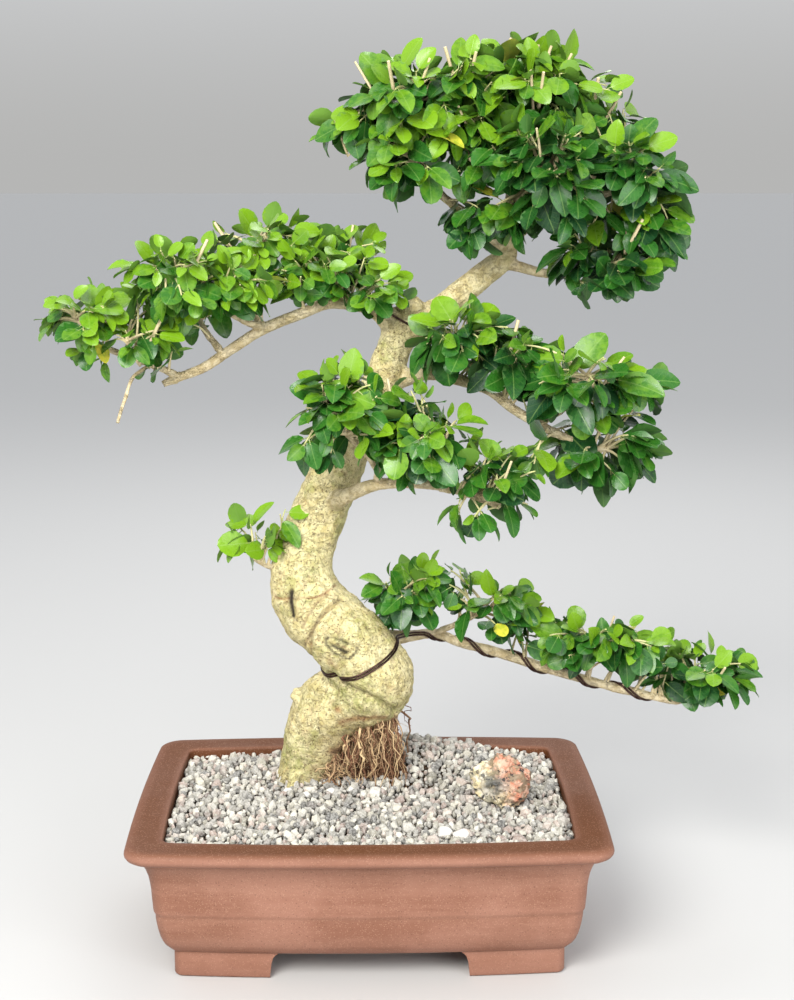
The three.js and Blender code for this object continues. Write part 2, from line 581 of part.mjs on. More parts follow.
// A leaf with its stalk, from hub to foot and on along way, larger all round by grow.
// The first part of the stalk can be left out, so that leaves of one shoot may meet there.
function makeLeaf(hub, foot, way, size, grow, leftOut = 0) {
  const stem = foot.clone().sub(hub).normalize();
  const forward = way.clone().normalize();
  const level = new THREE.Vector3().crossVectors(new THREE.Vector3(0, 0, 1), forward).normalize();
  const section = (at, along, width, thick) => {
    const up = new THREE.Vector3().crossVectors(along, level).normalize();
    const side = new THREE.Vector3().crossVectors(up, along).normalize();
    return [[-width / 2, thick / 3], [0, (-2 * thick) / 3], [width / 2, thick / 3]].map(([u, v]) =>
      at.clone().addScaledVector(side, u).addScaledVector(up, v),
    );
  };
  const stalk = LEAF.stalk + grow;
  const length = LEAF.length * size;
  const rings = [
    section(hub.clone().addScaledVector(stem, leftOut), stem, 2 * stalk, 2 * stalk),
    section(foot, stem.clone().add(forward).normalize(), 2 * stalk, 2 * stalk),
    section(
      foot.clone().addScaledVector(forward, length * 0.42),
      forward,
      LEAF.width * size + 2 * grow,
      LEAF.thickness + 2 * grow,
    ),
  ];
  return loft(rings, foot.clone().addScaledVector(forward, length + 2 * grow));
}

// One leafy shoot, seated over the end of its branch. Its leaves touch no other shoot and no wood.
function makeShoot(shoot, seed, taken) {
  const roll = dice(seed);
  const line = LIMBS[shoot.on];
  const hub = fromSoil(line[line.length - 1]);
  const middle = fromSoil(shoot.middle);
  const room = [0.7, 0.7, 0.25].map((share, i) => Math.max(shoot.half[i] - share * LEAF.length, 3));
  const bud = solidOf(new THREE.OctahedronGeometry(BUD, 0).translate(hub.x, hub.y, hub.z));
  const leaves = [];
  for (let i = 0; i < shoot.leaves * 4 && leaves.length < shoot.leaves; i++) {
    const lift = 1 - 1.8 * ((i * 0.618034) % 1);
    const turn = i * 2.39996 + roll() * 0.6;
    const flat = Math.sqrt(Math.max(0, 1 - lift * lift));
    const out = new THREE.Vector3(flat * Math.cos(turn), flat * Math.sin(turn), lift);
    const foot = middle.clone().add(new THREE.Vector3(out.x * room[0], out.y * room[1], out.z * room[2]));
    const outward = new THREE.Vector3(Math.cos(turn), Math.sin(turn), 0.4 * lift - 0.3 + 0.4 * roll());
    const way = foot.clone().sub(hub).normalize().add(outward);
    const size = 0.85 + 0.3 * roll();
    if (foot.distanceTo(hub) < 2.4 * BUD || way.length() < 0.7) continue;
    const wide = makeLeaf(hub, foot, way, size, GAP, 1.6 * BUD);
    if ([...taken, ...leaves].some((other) => !wide.intersect(other).isEmpty())) continue;
    leaves.push(makeLeaf(hub, foot, way, size, 0));
  }
  return join([bud, ...leaves]);
}

// ---------------------------------------------------------------- assembly

const group = new THREE.Group();

// Joins and cuts leave slivers: edges that matter less than SLIVER are taken out.
function add(name, solid, look) {
  const mesh = new THREE.Mesh(geometryOf(solid.simplify(SLIVER)), look);
  mesh.name = name;
  group.add(mesh);
  return solid;
}

const cutFrom = (solid, cutters) => cutters.reduce((left, cutter) => left.subtract(cutter), solid);

const wood = makeWood();
const grownWood = makeWood(GAP);
const pebbles = PEBBLES.map((pebble, i) => makePebble(pebble, 20 + i));
const grownPebbles = PEBBLES.map((pebble, i) => makePebble(pebble, 20 + i, GAP));

add("pot", makePot(), CLAY);
for (const [i, x] of drainPlaces().entries()) {
  const side = ["left", "right"][i];
  add(`drain_screen_${side}`, makeScreen(x), MESH_PLASTIC);
  add(`drain_screen_staple_${side}`, makeStaple(x), STEEL_WIRE);
}

const pocketHeight = SCREEN.thickness + 2 * STAPLE.wire + 4 * GAP;
const pockets = drainPlaces().map((x) => {
  const box = new THREE.BoxGeometry(screenSide + 2 * GAP, screenSide + 2 * GAP, 2 * pocketHeight);
  return solidOf(box.translate(x, 0, POT.footHeight + POT.floor));
});
const bedTop = POT.height + 40;
const clump = largest(cutFrom(makeRootClump(), [grownWood]));
const underGravel = (drop) => slab((x, y) => gravelTop(x, y) - GRAVEL.thickness - drop, () => POT.footHeight, 10, 7);
const soil = underGravel(GAP).intersect(potCavity(GAP, bedTop));
add("soil", largest(cutFrom(soil, [grownWood, makeRootClump(GAP), ...pockets])), SOIL);

const grains = dice(77);
const bumpy = (x, y) => gravelTop(x, y) + (grains() - 0.5) * 2 * GRAVEL.grain;
const bed = slab(bumpy, () => POT.footHeight, 20, 14).intersect(potCavity(GAP, bedTop));
const bedCutters = [underGravel(0), grownWood, makeRootClump(GAP), makeRock(GAP), ...grownPebbles];
add("gravel_top_dressing", largest(cutFrom(bed, bedCutters)), GREY_STONE);
add("accent_rock", makeRock(), AGATE);
pebbles.forEach((pebble, i) => add(`loose_pebble_${i + 1}`, cutFrom(pebble, [grownWood, makeRootClump(GAP)]), PALE_STONE));
add("root_clump", clump, ROOT);

add("trunk_and_branches", wood, BARK);
const wires = Object.entries({
  branch_wire_upper: makeBranchWire(-1),
  branch_wire_lower: makeBranchWire(1),
  fork_tie_wire: makeForkTie(),
}).map(([name, wire]) => add(name, largest(cutFrom(wire, [grownWood])), DARK_WIRE));

const taken = [grownWood, ...wires];
Object.entries(SHOOTS).forEach(([name, shoot], i) => {
  const made = largest(cutFrom(makeShoot(shoot, 100 + i, taken), [grownWood, ...wires]));
  taken.push(add(name, made, LEAF_GREEN));
});

// The origin goes to the middle of the footprint of the whole object, on the surface it stands on.
const middleOfAll = new THREE.Box3().setFromObject(group).getCenter(new THREE.Vector3());
group.position.set(-middleOfAll.x, -middleOfAll.y, 0);

export default group;
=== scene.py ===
"""Looks of the bonsai in its clay pot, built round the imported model's frame.

Lengths in this file are millimetres from the middle of the pot, on the surface that it stands on,
with +X to the right, +Y away from the front and +Z up. They become metres in the frame when a mesh is made.
"""

import json
import logging
import math
from dataclasses import dataclass
from enum import Enum
import bmesh
import bpy
import numpy as np
from mathutils import Euler, Matrix, Vector, noise
from mathutils.bvhtree import BVHTree

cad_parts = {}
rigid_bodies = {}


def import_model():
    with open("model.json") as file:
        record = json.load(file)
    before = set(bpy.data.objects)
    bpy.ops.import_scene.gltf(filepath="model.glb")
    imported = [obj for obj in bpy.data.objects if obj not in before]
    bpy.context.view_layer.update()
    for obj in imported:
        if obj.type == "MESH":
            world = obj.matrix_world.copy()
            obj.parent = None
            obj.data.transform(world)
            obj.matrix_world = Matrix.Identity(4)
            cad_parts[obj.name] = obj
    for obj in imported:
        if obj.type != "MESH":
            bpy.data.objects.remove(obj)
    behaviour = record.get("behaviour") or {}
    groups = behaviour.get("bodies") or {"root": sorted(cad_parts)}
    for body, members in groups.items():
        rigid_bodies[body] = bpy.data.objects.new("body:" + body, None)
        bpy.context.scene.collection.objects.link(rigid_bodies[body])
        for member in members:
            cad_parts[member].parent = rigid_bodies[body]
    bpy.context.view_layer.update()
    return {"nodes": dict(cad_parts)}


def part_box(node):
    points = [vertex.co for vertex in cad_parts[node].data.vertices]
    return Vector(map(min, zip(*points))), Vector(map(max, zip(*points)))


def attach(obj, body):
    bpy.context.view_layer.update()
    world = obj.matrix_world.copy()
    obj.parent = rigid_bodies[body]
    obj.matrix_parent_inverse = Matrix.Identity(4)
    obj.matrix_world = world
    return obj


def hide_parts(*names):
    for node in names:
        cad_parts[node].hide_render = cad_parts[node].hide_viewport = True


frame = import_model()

logging.basicConfig(level=logging.INFO, format="%(message)s")
log = logging.getLogger("bonsai")

MM = 0.001
BODY = "root"
Colour = tuple[float, float, float]
Points = np.ndarray

POT_LOW, POT_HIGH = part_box("pot")
POT_MIDDLE = np.array([(POT_LOW.x + POT_HIGH.x) / 2, (POT_LOW.y + POT_HIGH.y) / 2, 0.0])
GRAVEL_LEVEL = 103.0


# ---------------------------------------------------------------- the tree's lines, as in the part's source
# Each is a list of (x, y, height above the flat gravel, radius).

TRUNK_LINE = [
    (-60, 52, -20, 15), (-57, 51, 2, 19.5), (-50, 52, 22, 24.5), (-42, 52, 42, 28.5), (-31, 49, 63, 31.5),
    (-15, 42, 77, 31.5), (3, 30, 94, 34), (-17, 28, 128, 31), (-46, 38, 154, 29), (-55, 44, 183, 26),
        (-47, 48, 213, 23.5),
    (-36, 50, 241, 22.5), (-22, 50, 274, 21), (-5, 50, 307, 18.5), (11, 50, 333, 16.5), (19, 50, 359, 14.5),
    (28, 50, 383, 13.5), (35, 51, 396, 11.5),
]

LIMBS: dict[str, list[tuple[float, ...]]] = {
    "leftLimb": [
        (26, 50, 380, 12), (4, 44, 398, 7.5), (-28, 38, 402, 5), (-53, 32, 394, 4.8), (-83, 26, 382, 4.6),
        (-109, 22, 366, 4.4), (-129, 18, 353, 4.1), (-153, 16, 344, 3.6), (-161, 15, 340, 2.6),
    ],
    "leftTip": [
        (-148, 16, 346, 3), (-176, 12, 359, 2.6), (-207, 8, 371, 2.2), (-214, 6, 383, 1.8), (-226, 4, 393, 1.3),
    ],
    "leftLow": [(-174, 12, 358, 2.4), (-182, 0, 368, 1.8), (-186, -4, 376, 1.4)],
    "leftFront": [(-83, 26, 383, 3), (-107, 8, 396, 2.4), (-141, -4, 421, 1.8), (-154, -8, 431, 1.3)],
    "leftUpright": [
        (-86, 26, 384, 4), (-87, 42, 404, 4), (-83, 48, 422, 3.4), (-98, 52, 438, 2.6), (-80, 56, 452, 1.8),
    ],
    "leftBack": [(-115, 21, 364, 3), (-130, 42, 381, 2.4), (-143, 62, 403, 1.5)],
    "leftInner": [(-28, 38, 402, 3.4), (-32, 56, 418, 2.6), (-40, 70, 434, 1.6)],
    "crownLimb": [
        (30, 52, 376, 12.5), (64, 56, 399, 11.5), (85, 58, 416, 10.5), (106, 60, 433, 9.8), (114, 60, 443, 8),
    ],
    "crownTop": [(113, 60, 440, 7.5), (115, 56, 480, 5.8), (120, 58, 521, 4.6), (128, 60, 541, 4), (131, 60, 572, 2.4)],
    "crownLow": [(112, 60, 432, 5), (146, 46, 424, 3.6), (173, 38, 427, 2.6), (195, 30, 420, 1.7)],
    "crownRight": [(116, 60, 452, 5), (146, 50, 474, 4.2), (172, 42, 483, 3.2), (213, 28, 494, 1.8)],
    "crownLeft": [(108, 60, 440, 5), (84, 50, 467, 3.8), (54, 36, 490, 2.8), (37, 28, 520, 1.8)],
    "crownBack": [(115, 62, 446, 6), (126, 98, 482, 4.2), (142, 128, 520, 2.4)],
    "crownShoulder": [(118, 58, 506, 4.2), (88, 40, 529, 3.2), (59, 28, 554, 2.2), (30, 20, 566, 1.4)],
    "crownFront": [(117, 60, 466, 4.6), (124, 20, 490, 3.4), (140, -14, 505, 2.2)],
    "rightLimb": [
        (20, 50, 338, 8), (46, 36, 346, 6), (66, 22, 344, 5), (94, 2, 337, 4.5), (113, -8, 323, 4.1),
        (134, -14, 311, 3.6), (164, -18, 296, 3), (184, -20, 293, 2),
    ],
    "rightRise": [(132, -14, 312, 3), (158, -28, 333, 2.4), (166, -34, 352, 1.6)],
    "rightNear": [(56, 29, 346, 4), (62, 18, 362, 2.8), (70, 8, 376, 1.8)],
    "centreLimb": [
        (-30, 40, 240, 9), (-16, 12, 252, 6.5), (8, -14, 265, 4.9), (41, -30, 268, 4), (73, -42, 264, 3.5),
            (100, -50, 254, 2.4),
    ],
    "centreRise": [(8, -14, 266, 3.4), (4, -24, 284, 2.8), (-18, -34, 309, 2), (-37, -34, 324, 1.4)],
    "centreMiddle": [(38, -29, 268, 3.2), (47, -40, 290, 2.4), (58, -46, 304, 1.6)],
    "lowLimb": [
        (6, 46, 124, 9), (30, 56, 123, 5.4), (56, 62, 124, 4.2), (77, 62, 116, 4.2), (98, 60, 111, 4.4),
            (122, 58, 104, 4.4),
        (150, 55, 95, 4.3), (183, 52, 86, 4), (211, 48, 79, 3.6), (239, 46, 73, 3.3), (258, 44, 70, 2.9),
            (278, 42, 78, 2.2),
    ],
    "lowFork": [(56, 61, 125, 2.6), (80, 52, 138, 2.2), (103, 44, 153, 1.6)],
    "lowMiddle": [(183, 52, 86, 2.6), (186, 47, 106, 1.9), (186, 44, 120, 1.4)],
    "lowInner": [(32, 55, 126, 3), (26, 50, 142, 2.4), (20, 46, 158, 1.6)],
    "sprout": [(-58, 44, 193, 4), (-79, 36, 188, 2.2), (-92, 28, 196, 1.4)],
    "hangingTwig": [(-170, 13, 356, 1.7), (-183, 8, 347, 1.4), (-190, 6, 329, 1.3), (-196, 4, 311, 1.2)],
}

BASE_GROWTHS = {
    "cutSpur": [(-40, 46, 66, 20), (-67, 46, 80, 2.5)],
    "leftFlare": [(-66, 44, 14, 7), (-72, 36, 4, 4), (-78, 30, -14, 3)],
    "frontFlare": [(-60, 36, 14, 7), (-65, 25, 4, 4), (-68, 16, -14, 3)],
}


# ---------------------------------------------------------------- meshes and lines


def in_frame(points: Points) -> Points:
    """Millimetres from the pot's middle, as metres in the row frame."""
    return np.asarray(points, float) * MM + POT_MIDDLE


def new_object(name: str, data: bpy.types.ID) -> bpy.types.Object:
    """Puts data in the scene as an object at the origin."""
    piece = bpy.data.objects.new(name, data)
    bpy.context.scene.collection.objects.link(piece)
    return piece


def mesh_object(name: str, points: Points, faces: list, edges: list = ()) -> bpy.types.Object:
    """Makes a mesh object.

    Args:
        name: the object's name.
        points: corners, in millimetres from the pot's middle.
        faces: corner numbers of each face.
        edges: corner numbers of each loose edge.

    Returns:
        The new object, at the origin.
    """
    mesh = bpy.data.meshes.new(name)
    mesh.from_pydata(in_frame(points).tolist(), list(edges), faces)
    mesh.shade_smooth()
    return new_object(name, mesh)


def store(piece: bpy.types.Object, **values: Points) -> None:
    """Lets a piece carry a value at each of its points, under each name."""
    for name, value in values.items():
        piece.data.attributes.new(name, "FLOAT", "POINT").data.foreach_set("value", value)


def dress(piece: bpy.types.Object, material: bpy.types.Material) -> None:
    """Gives a piece one material."""
    piece.data.materials.clear()
    piece.data.materials.append(material)


def ball(subdivisions: int, radius: float = 1.0) -> tuple[Points, list]:
    """Corners and faces of a ball of triangles."""
    made = bmesh.new()
    bmesh.ops.create_icosphere(made, subdivisions=subdivisions, radius=radius)
    points = np.array([v.co for v in made.verts])
    faces = [[v.index for v in f.verts] for f in made.faces]
    made.free()
    return points, faces


def chop(points: Points, way: Points, depth: float, share: float = 1.0) -> Points:
    """Presses what lies further than depth along way back by a share."""
    return points - way * np.maximum(points @ way - depth, 0)[:, None] * share


def remove(*pieces: bpy.types.Object) -> None:
    """Deletes helper objects."""
    for piece in pieces:
        bpy.data.objects.remove(piece, do_unlink=True)


def cut_away(piece: bpy.types.Object, *cutters: bpy.types.Object) -> None:
    """Cuts closed shapes out of a piece and deletes them."""
    for cutter in cutters:
        cut = piece.modifiers.new("cut", "BOOLEAN")
        cut.object, cut.operation, cut.solver = cutter, "DIFFERENCE", "EXACT"
    plain_mesh(piece)
    remove(*cutters)


def plain_mesh(piece: bpy.types.Object) -> bpy.types.Object:
    """Applies every modifier of piece and removes them."""
    depsgraph = bpy.context.evaluated_depsgraph_get()
    made = bpy.data.meshes.new_from_object(
        piece.evaluated_get(depsgraph), preserve_all_data_layers=True, depsgraph=depsgraph
    )
    piece.modifiers.clear()
    piece.data = made
    return piece


def finish_piece(piece: bpy.types.Object, slot: str, *nodes: str) -> bpy.types.Object:
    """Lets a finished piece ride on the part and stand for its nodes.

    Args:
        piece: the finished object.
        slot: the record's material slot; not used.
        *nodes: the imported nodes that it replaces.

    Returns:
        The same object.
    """
    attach(piece, BODY)
    if nodes:
        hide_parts(*nodes)
    log.info("%s: %d faces", piece.name, len(piece.data.polygons))
    return piece


def smooth_line(line: list[tuple[float, ...]], step: float) -> Points:
    """Smooth curve through a line's points.

    Args:
        line: (x, y, height above the gravel, radius) of each point.
        step: distance between the samples.

    Returns:
        Rows of x, y, z, radius, with z above the ground.
    """
    rows = np.array(line, float)
    rows[:, 2] += GRAVEL_LEVEL
    padded = np.vstack([2 * rows[0] - rows[1], rows, 2 * rows[-1] - rows[-2]])
    samples = []
    for i in range(1, len(padded) - 2):
        p0, p1, p2, p3 = padded[i - 1 : i + 3]
        count = max(int(np.linalg.norm(p2[:3] - p1[:3]) / step), 1)
        t = np.arange(count)[:, None] / count
        bend = (2 * p0 - 5 * p1 + 4 * p2 - p3) * t + (3 * p1 - p0 - 3 * p2 + p3) * t * t
        samples.append(p1 + 0.5 * t * ((p2 - p0) + bend))
    return np.vstack([*samples, rows[-1:]])


def unit(v: Points) -> Points:
    """Each row of v at length one."""
    return v / np.maximum(np.linalg.norm(v, axis=-1, keepdims=True), 1e-9)


def sweep(path: Points, sides: int, lumps: float = 0.0, seed: int = 0) -> tuple[Points, list]:
    """Closed round tube along a path.

    Args:
        path: rows of x, y, z, radius.
        sides: corners round the tube.
        lumps: share of the radius by which it swells and shrinks.
        seed: seed of the lumps.

    Returns:
        Corners and faces.
    """
    centre, radius = path[:, :3], path[:, 3].copy()
    tangent = unit(np.gradient(centre, axis=0))
    normal = np.cross(tangent[0], [0.3, 0.2, 0.93])
    corners = []
    for i in range(len(path)):
        normal = unit(normal - tangent[i] * np.dot(normal, tangent[i]))
        across = np.cross(tangent[i], normal)
        turn = np.arange(sides) * 2 * math.pi / sides
        r = np.full(sides, radius[i])
        if lumps:
            r *= 1 + lumps * np.array(
                [noise.noise(Vector((i * 0.22, 1.5 * math.cos(a) + seed, 1.5 * math.sin(a)))) for a in turn]
            )
        corners.append(centre[i] + r[:, None] * (np.cos(turn)[:, None] * normal + np.sin(turn)[:, None] * across))
    corners = np.vstack(corners)
    faces = []
    for i in range(len(path) - 1):
        for s in range(sides):
            a, b = i * sides + s, i * sides + (s + 1) % sides
            faces.append((a, b, b + sides, a + sides))
    faces.append(tuple(reversed(range(sides))))
    faces.append(tuple(range((len(path) - 1) * sides, len(path) * sides)))
    return corners, faces


def gather(parts: list[tuple[Points, list]]) -> tuple[Points, list]:
    """Joins several lists of corners and faces into one."""
    corners, faces, start = [], [], 0
    for points, polygons in parts:
        corners.append(points)
        faces += [tuple(start + i for i in polygon) for polygon in polygons]
        start += len(points)
    return np.vstack(corners), faces


def relief(points: Points, scale: float, octaves: int = 3, seed: float = 0.0) -> Points:
    """Noise between about -1 and 1 at each point, with bumps about scale wide."""
    return np.array([noise.fractal(Vector(p / scale + seed), 0.8, 2.1, octaves) for p in points])


def distance_to_line(points: Points, line: Points) -> Points:
    """Distance from each point to a chain of straight stretches."""
    best = np.full(len(points), 1e9)
    for a, b in zip(line[:-1], line[1:]):
        along = b - a
        t = np.clip((points - a) @ along / max(along @ along, 1e-9), 0, 1)
        best = np.minimum(best, np.linalg.norm(points - (a + t[:, None] * along), axis=1))
    return best


# ---------------------------------------------------------------- node trees


MIX_INPUTS = (0, 6, 7)  # a colour Mix node's share, first and second colour
MIX_COLOUR = 2  # and its result


class Graph:
    """A node tree while it is being built."""

    def __init__(self, tree: bpy.types.NodeTree) -> None:
        """Starts on an empty tree."""
        self.tree = tree

    def add(self, kind: str, inputs: dict | None = None, **settings: object) -> bpy.types.Node:
        """Adds one node.

        Args:
            kind: the node's type name.
            inputs: value or source socket of each named input; a number counts the inputs.
            **settings: properties of the node itself.

        Returns:
            The new node.
        """
        node = self.tree.nodes.new(kind)
        for key, value in settings.items():
            setattr(node, key, value)
        for key, value in (inputs or {}).items():
            self.give(node.inputs[key] if isinstance(key, int) else self.live(node.inputs, key), value)
        return node

    @staticmethod
    def live(sockets: object, name: str) -> bpy.types.NodeSocket:
        """The enabled socket of that name."""
        return next(s for s in sockets if s.name == name and s.enabled)

    def out(self, node: bpy.types.Node, name: str) -> bpy.types.NodeSocket:
        """The enabled output of that name."""
        return self.live(node.outputs, name)

    def math(self, operation: str, a: object, b: object = 0.0) -> bpy.types.NodeSocket:
        """One Math node's result."""
        return self.add("ShaderNodeMath", {0: a, 1: b}, operation=operation).outputs[0]

    def times(self, a: object, b: object) -> bpy.types.NodeSocket:
        """a times b."""
        return self.math("MULTIPLY", a, b)

    def plus(self, a: object, b: object) -> bpy.types.NodeSocket:
        """a and b added."""
        return self.math("ADD", a, b)

    def minus(self, a: object, b: object) -> bpy.types.NodeSocket:
        """a less b."""
        return self.math("SUBTRACT", a, b)

    def ramp(self, value: object, low: object, high: object) -> bpy.types.NodeSocket:
        """Value mapped smoothly from low..high to 0..1."""
        inputs = {"Value": value, "From Min": low, "From Max": high}
        return self.add("ShaderNodeMapRange", inputs, interpolation_type="SMOOTHSTEP").outputs["Result"]

    def mix(self, share: object, a: object, b: object) -> bpy.types.NodeSocket:
        """Colour mixed from a to b by share."""
        node = self.add("ShaderNodeMix", data_type="RGBA")
        for number, value in zip(MIX_INPUTS, (share, a, b)):
            self.give(node.inputs[number], value)
        return node.outputs[MIX_COLOUR]

    def tint(self, colour: object, mask: object, share: float, over: object) -> bpy.types.NodeSocket:
        """Colour with another laid over it, where the mask is, up to a share."""
        return self.mix(self.times(mask, share), colour, over)

    def read(self, name: str) -> bpy.types.NodeSocket:
        """A value that the piece carries at its points."""
        return self.add("ShaderNodeAttribute", attribute_name=name).outputs["Fac"]

    def give(self, socket: bpy.types.NodeSocket, value: object) -> None:
        """Links a source socket to an input, or sets its plain value or colour."""
        if isinstance(value, bpy.types.NodeSocket):
            self.tree.links.new(value, socket)
        elif isinstance(value, tuple) and socket.type == "RGBA":
            socket.default_value = (*value, 1.0)
        else:
            socket.default_value = value


def new_group(
    name: str, kind: str, inputs: dict[str, tuple], outputs: dict[str, str]
) -> tuple[Graph, dict, bpy.types.Node]:
    """Starts a node group with named inputs and outputs.

    Args:
        name: the group's name.
        kind: ShaderNodeTree or GeometryNodeTree.
        inputs: socket type and starting value of each input; None has no value.
        outputs: socket type of each output.

    Returns:
        The graph, its input sockets by name, and the group's output node.
    """
    tree = bpy.data.node_groups.new(name, kind)
    for label, (socket_type, value) in inputs.items():
        socket = tree.interface.new_socket(name=label, in_out="INPUT", socket_type=socket_type)
        if value is not None:
            socket.default_value = value
    for label, socket_type in outputs.items():
        tree.interface.new_socket(name=label, in_out="OUTPUT", socket_type=socket_type)
    graph = Graph(tree)
    entry = graph.add("NodeGroupInput")
    return graph, {s.name: s for s in entry.outputs if s.name}, graph.add("NodeGroupOutput")


FLOAT, VECTOR, INTEGER, GEOMETRY = "NodeSocketFloat", "NodeSocketVector", "NodeSocketInt", "NodeSocketGeometry"


SPECK_EDGE = 0.08  # how softly a speck ends


class Effects:
    """Shader groups that several finishes share."""

    def __init__(self) -> None:
        """Builds each group once."""
        self.mottle = self._mottle()
        self.speckle = self._speckle()
        self.grain = self._grain()
        self.edge_wear = self._edge_wear()

    @staticmethod
    def _mottle() -> bpy.types.NodeTree:
        """Cloudy mask from fractal noise, between two thresholds."""
        inputs = {"Vector": (VECTOR, None), "Scale": (FLOAT, 50.0), "Detail": (FLOAT, 4.0)}
        inputs.update({"Low": (FLOAT, 0.4), "High": (FLOAT, 0.6)})
        graph, given, leave = new_group("Mottle", "ShaderNodeTree", inputs, {"Mask": FLOAT})
        settings = {key: given[key] for key in ("Vector", "Scale", "Detail")}
        cloud = graph.add("ShaderNodeTexNoise", {**settings, "Roughness": 0.6})
        graph.give(leave.inputs["Mask"], graph.ramp(cloud.outputs[0], given["Low"], given["High"]))
        return graph.tree

    @staticmethod
    def _speckle() -> bpy.types.NodeTree:
        """Scattered round specks of uneven size."""
        inputs = {"Vector": (VECTOR, None), "Scale": (FLOAT, 400.0), "Size": (FLOAT, 0.3)}
        graph, given, leave = new_group("Speckle", "ShaderNodeTree", inputs, {"Mask": FLOAT})
        cells = graph.add("ShaderNodeTexVoronoi", {"Vector": given["Vector"], "Scale": given["Scale"]})
        pick = graph.add("ShaderNodeSeparateColor", {0: cells.outputs["Color"]})
        reach = graph.times(given["Size"], pick.outputs[0])
        edge = graph.minus(reach, cells.outputs["Distance"])
        graph.give(leave.inputs["Mask"], graph.ramp(edge, 0.0, SPECK_EDGE))
        return graph.tree

    @staticmethod
    def _grain() -> bpy.types.NodeTree:
        """Fine bumpy surface."""
        inputs = {"Vector": (VECTOR, None), "Scale": (FLOAT, 300.0), "Strength": (FLOAT, 0.3), "Depth": (FLOAT, 0.0005)}
        graph, given, leave = new_group("Surface Grain", "ShaderNodeTree", inputs, {"Normal": VECTOR, "Height": FLOAT})
        cloud = graph.add(
            "ShaderNodeTexNoise", {"Vector": given["Vector"], "Scale": given["Scale"], "Detail": 5.0, "Roughness": 0.65}
        )
        settings = {"Height": cloud.outputs[0], "Strength": given["Strength"], "Distance": given["Depth"]}
        bump = graph.add("ShaderNodeBump", settings)
        graph.tree.links.new(bump.outputs["Normal"], leave.inputs["Normal"])
        graph.tree.links.new(cloud.outputs[0], leave.inputs["Height"])
        return graph.tree

    @staticmethod
    def _edge_wear() -> bpy.types.NodeTree:
        """Mask of convex edges."""
        inputs = {"Low": (FLOAT, 0.5), "High": (FLOAT, 0.56)}
        graph, given, leave = new_group("Edge Wear", "ShaderNodeTree", inputs, {"Mask": FLOAT})
        shape = graph.add("ShaderNodeNewGeometry")
        spread = {"Value": shape.outputs["Pointiness"], "From Min": given["Low"], "From Max": given["High"]}
        mapped = graph.add("ShaderNodeMapRange", spread)
        graph.tree.links.new(mapped.outputs["Result"], leave.inputs["Mask"])
        return graph.tree


class Palette(Graph):
    """A material while it is being built, with the shared effects at hand."""

    def __init__(self, name: str, effects: Effects) -> None:
        """Starts a material with one Principled shader."""
        self.material = bpy.data.materials.new(name)
        self.material.use_nodes = True
        super().__init__(self.material.node_tree)
        self.shader = self.tree.nodes["Principled BSDF"]
        self.effects = effects
        self.place = self.add("ShaderNodeTexCoord").outputs["Object"]

    def effect(self, group: bpy.types.NodeTree, output: str = "Mask", **values: object) -> bpy.types.NodeSocket:
        """Places a shared effect with its own values.

        Args:
            group: the effect's node group.
            output: which of its outputs to return.
            **values: value or source of each input, by name.

        Returns:
            The output socket.
        """
        node = self.add("ShaderNodeGroup", node_tree=group)
        if "Vector" in node.inputs and "Vector" not in values:
            values["Vector"] = self.place
        for key, value in values.items():
            self.give(node.inputs[key], value)
        return node.outputs[output]

    def pattern(
        self, group: bpy.types.NodeTree, scale: object, output: str = "Mask", **values: float
    ) -> bpy.types.NodeSocket:
        """Places a shared effect at one scale, or at a scale of its own along each axis."""
        if isinstance(scale, tuple):
            stretched = self.add("ShaderNodeMapping", {"Vector": self.place, "Scale": Vector(scale)}).outputs[0]
            return self.effect(group, output, Vector=stretched, Scale=1.0, **values)
        return self.effect(group, output, Scale=scale, **values)

    def clouds(self, scale: object, detail: float, low: float, high: float) -> bpy.types.NodeSocket:
        """Cloudy mask."""
        return self.pattern(self.effects.mottle, scale, Detail=detail, Low=low, High=high)

    def specks(self, scale: float, size: float) -> bpy.types.NodeSocket:
        """Mask of scattered specks."""
        return self.pattern(self.effects.speckle, scale, Size=size)

    def height(self, scale: object) -> bpy.types.NodeSocket:
        """Height of a fine bumpy surface."""
        return self.pattern(self.effects.grain, scale, "Height")

    def grain(self, scale: float, strength: float, depth: float) -> bpy.types.NodeSocket:
        """Normal of a fine bumpy surface."""
        return self.pattern(self.effects.grain, scale, "Normal", Strength=strength, Depth=depth)

    def bump(self, height: bpy.types.NodeSocket, strength: float, depth: float) -> bpy.types.NodeSocket:
        """Normal of a surface with that height."""
        return self.add("ShaderNodeBump", {"Height": height, "Strength": strength, "Distance": depth}).outputs[0]

    def finish(self, colour: object, roughness: object, normal: object, **constants: float) -> bpy.types.Material:
        """Connects the shader.

        Args:
            colour: base colour, a value or a socket.
            roughness: a value or a socket.
            normal: a socket.
            **constants: plain values of other inputs, with _ for a space.

        Returns:
            The finished material.
        """
        values = {"Base Color": colour, "Roughness": roughness, "Normal": normal}
        values.update({key.replace("_", " "): value for key, value in constants.items()})
        for key, value in values.items():
            self.give(self.shader.inputs[key], value)
        return self.material


# ---------------------------------------------------------------- finishes


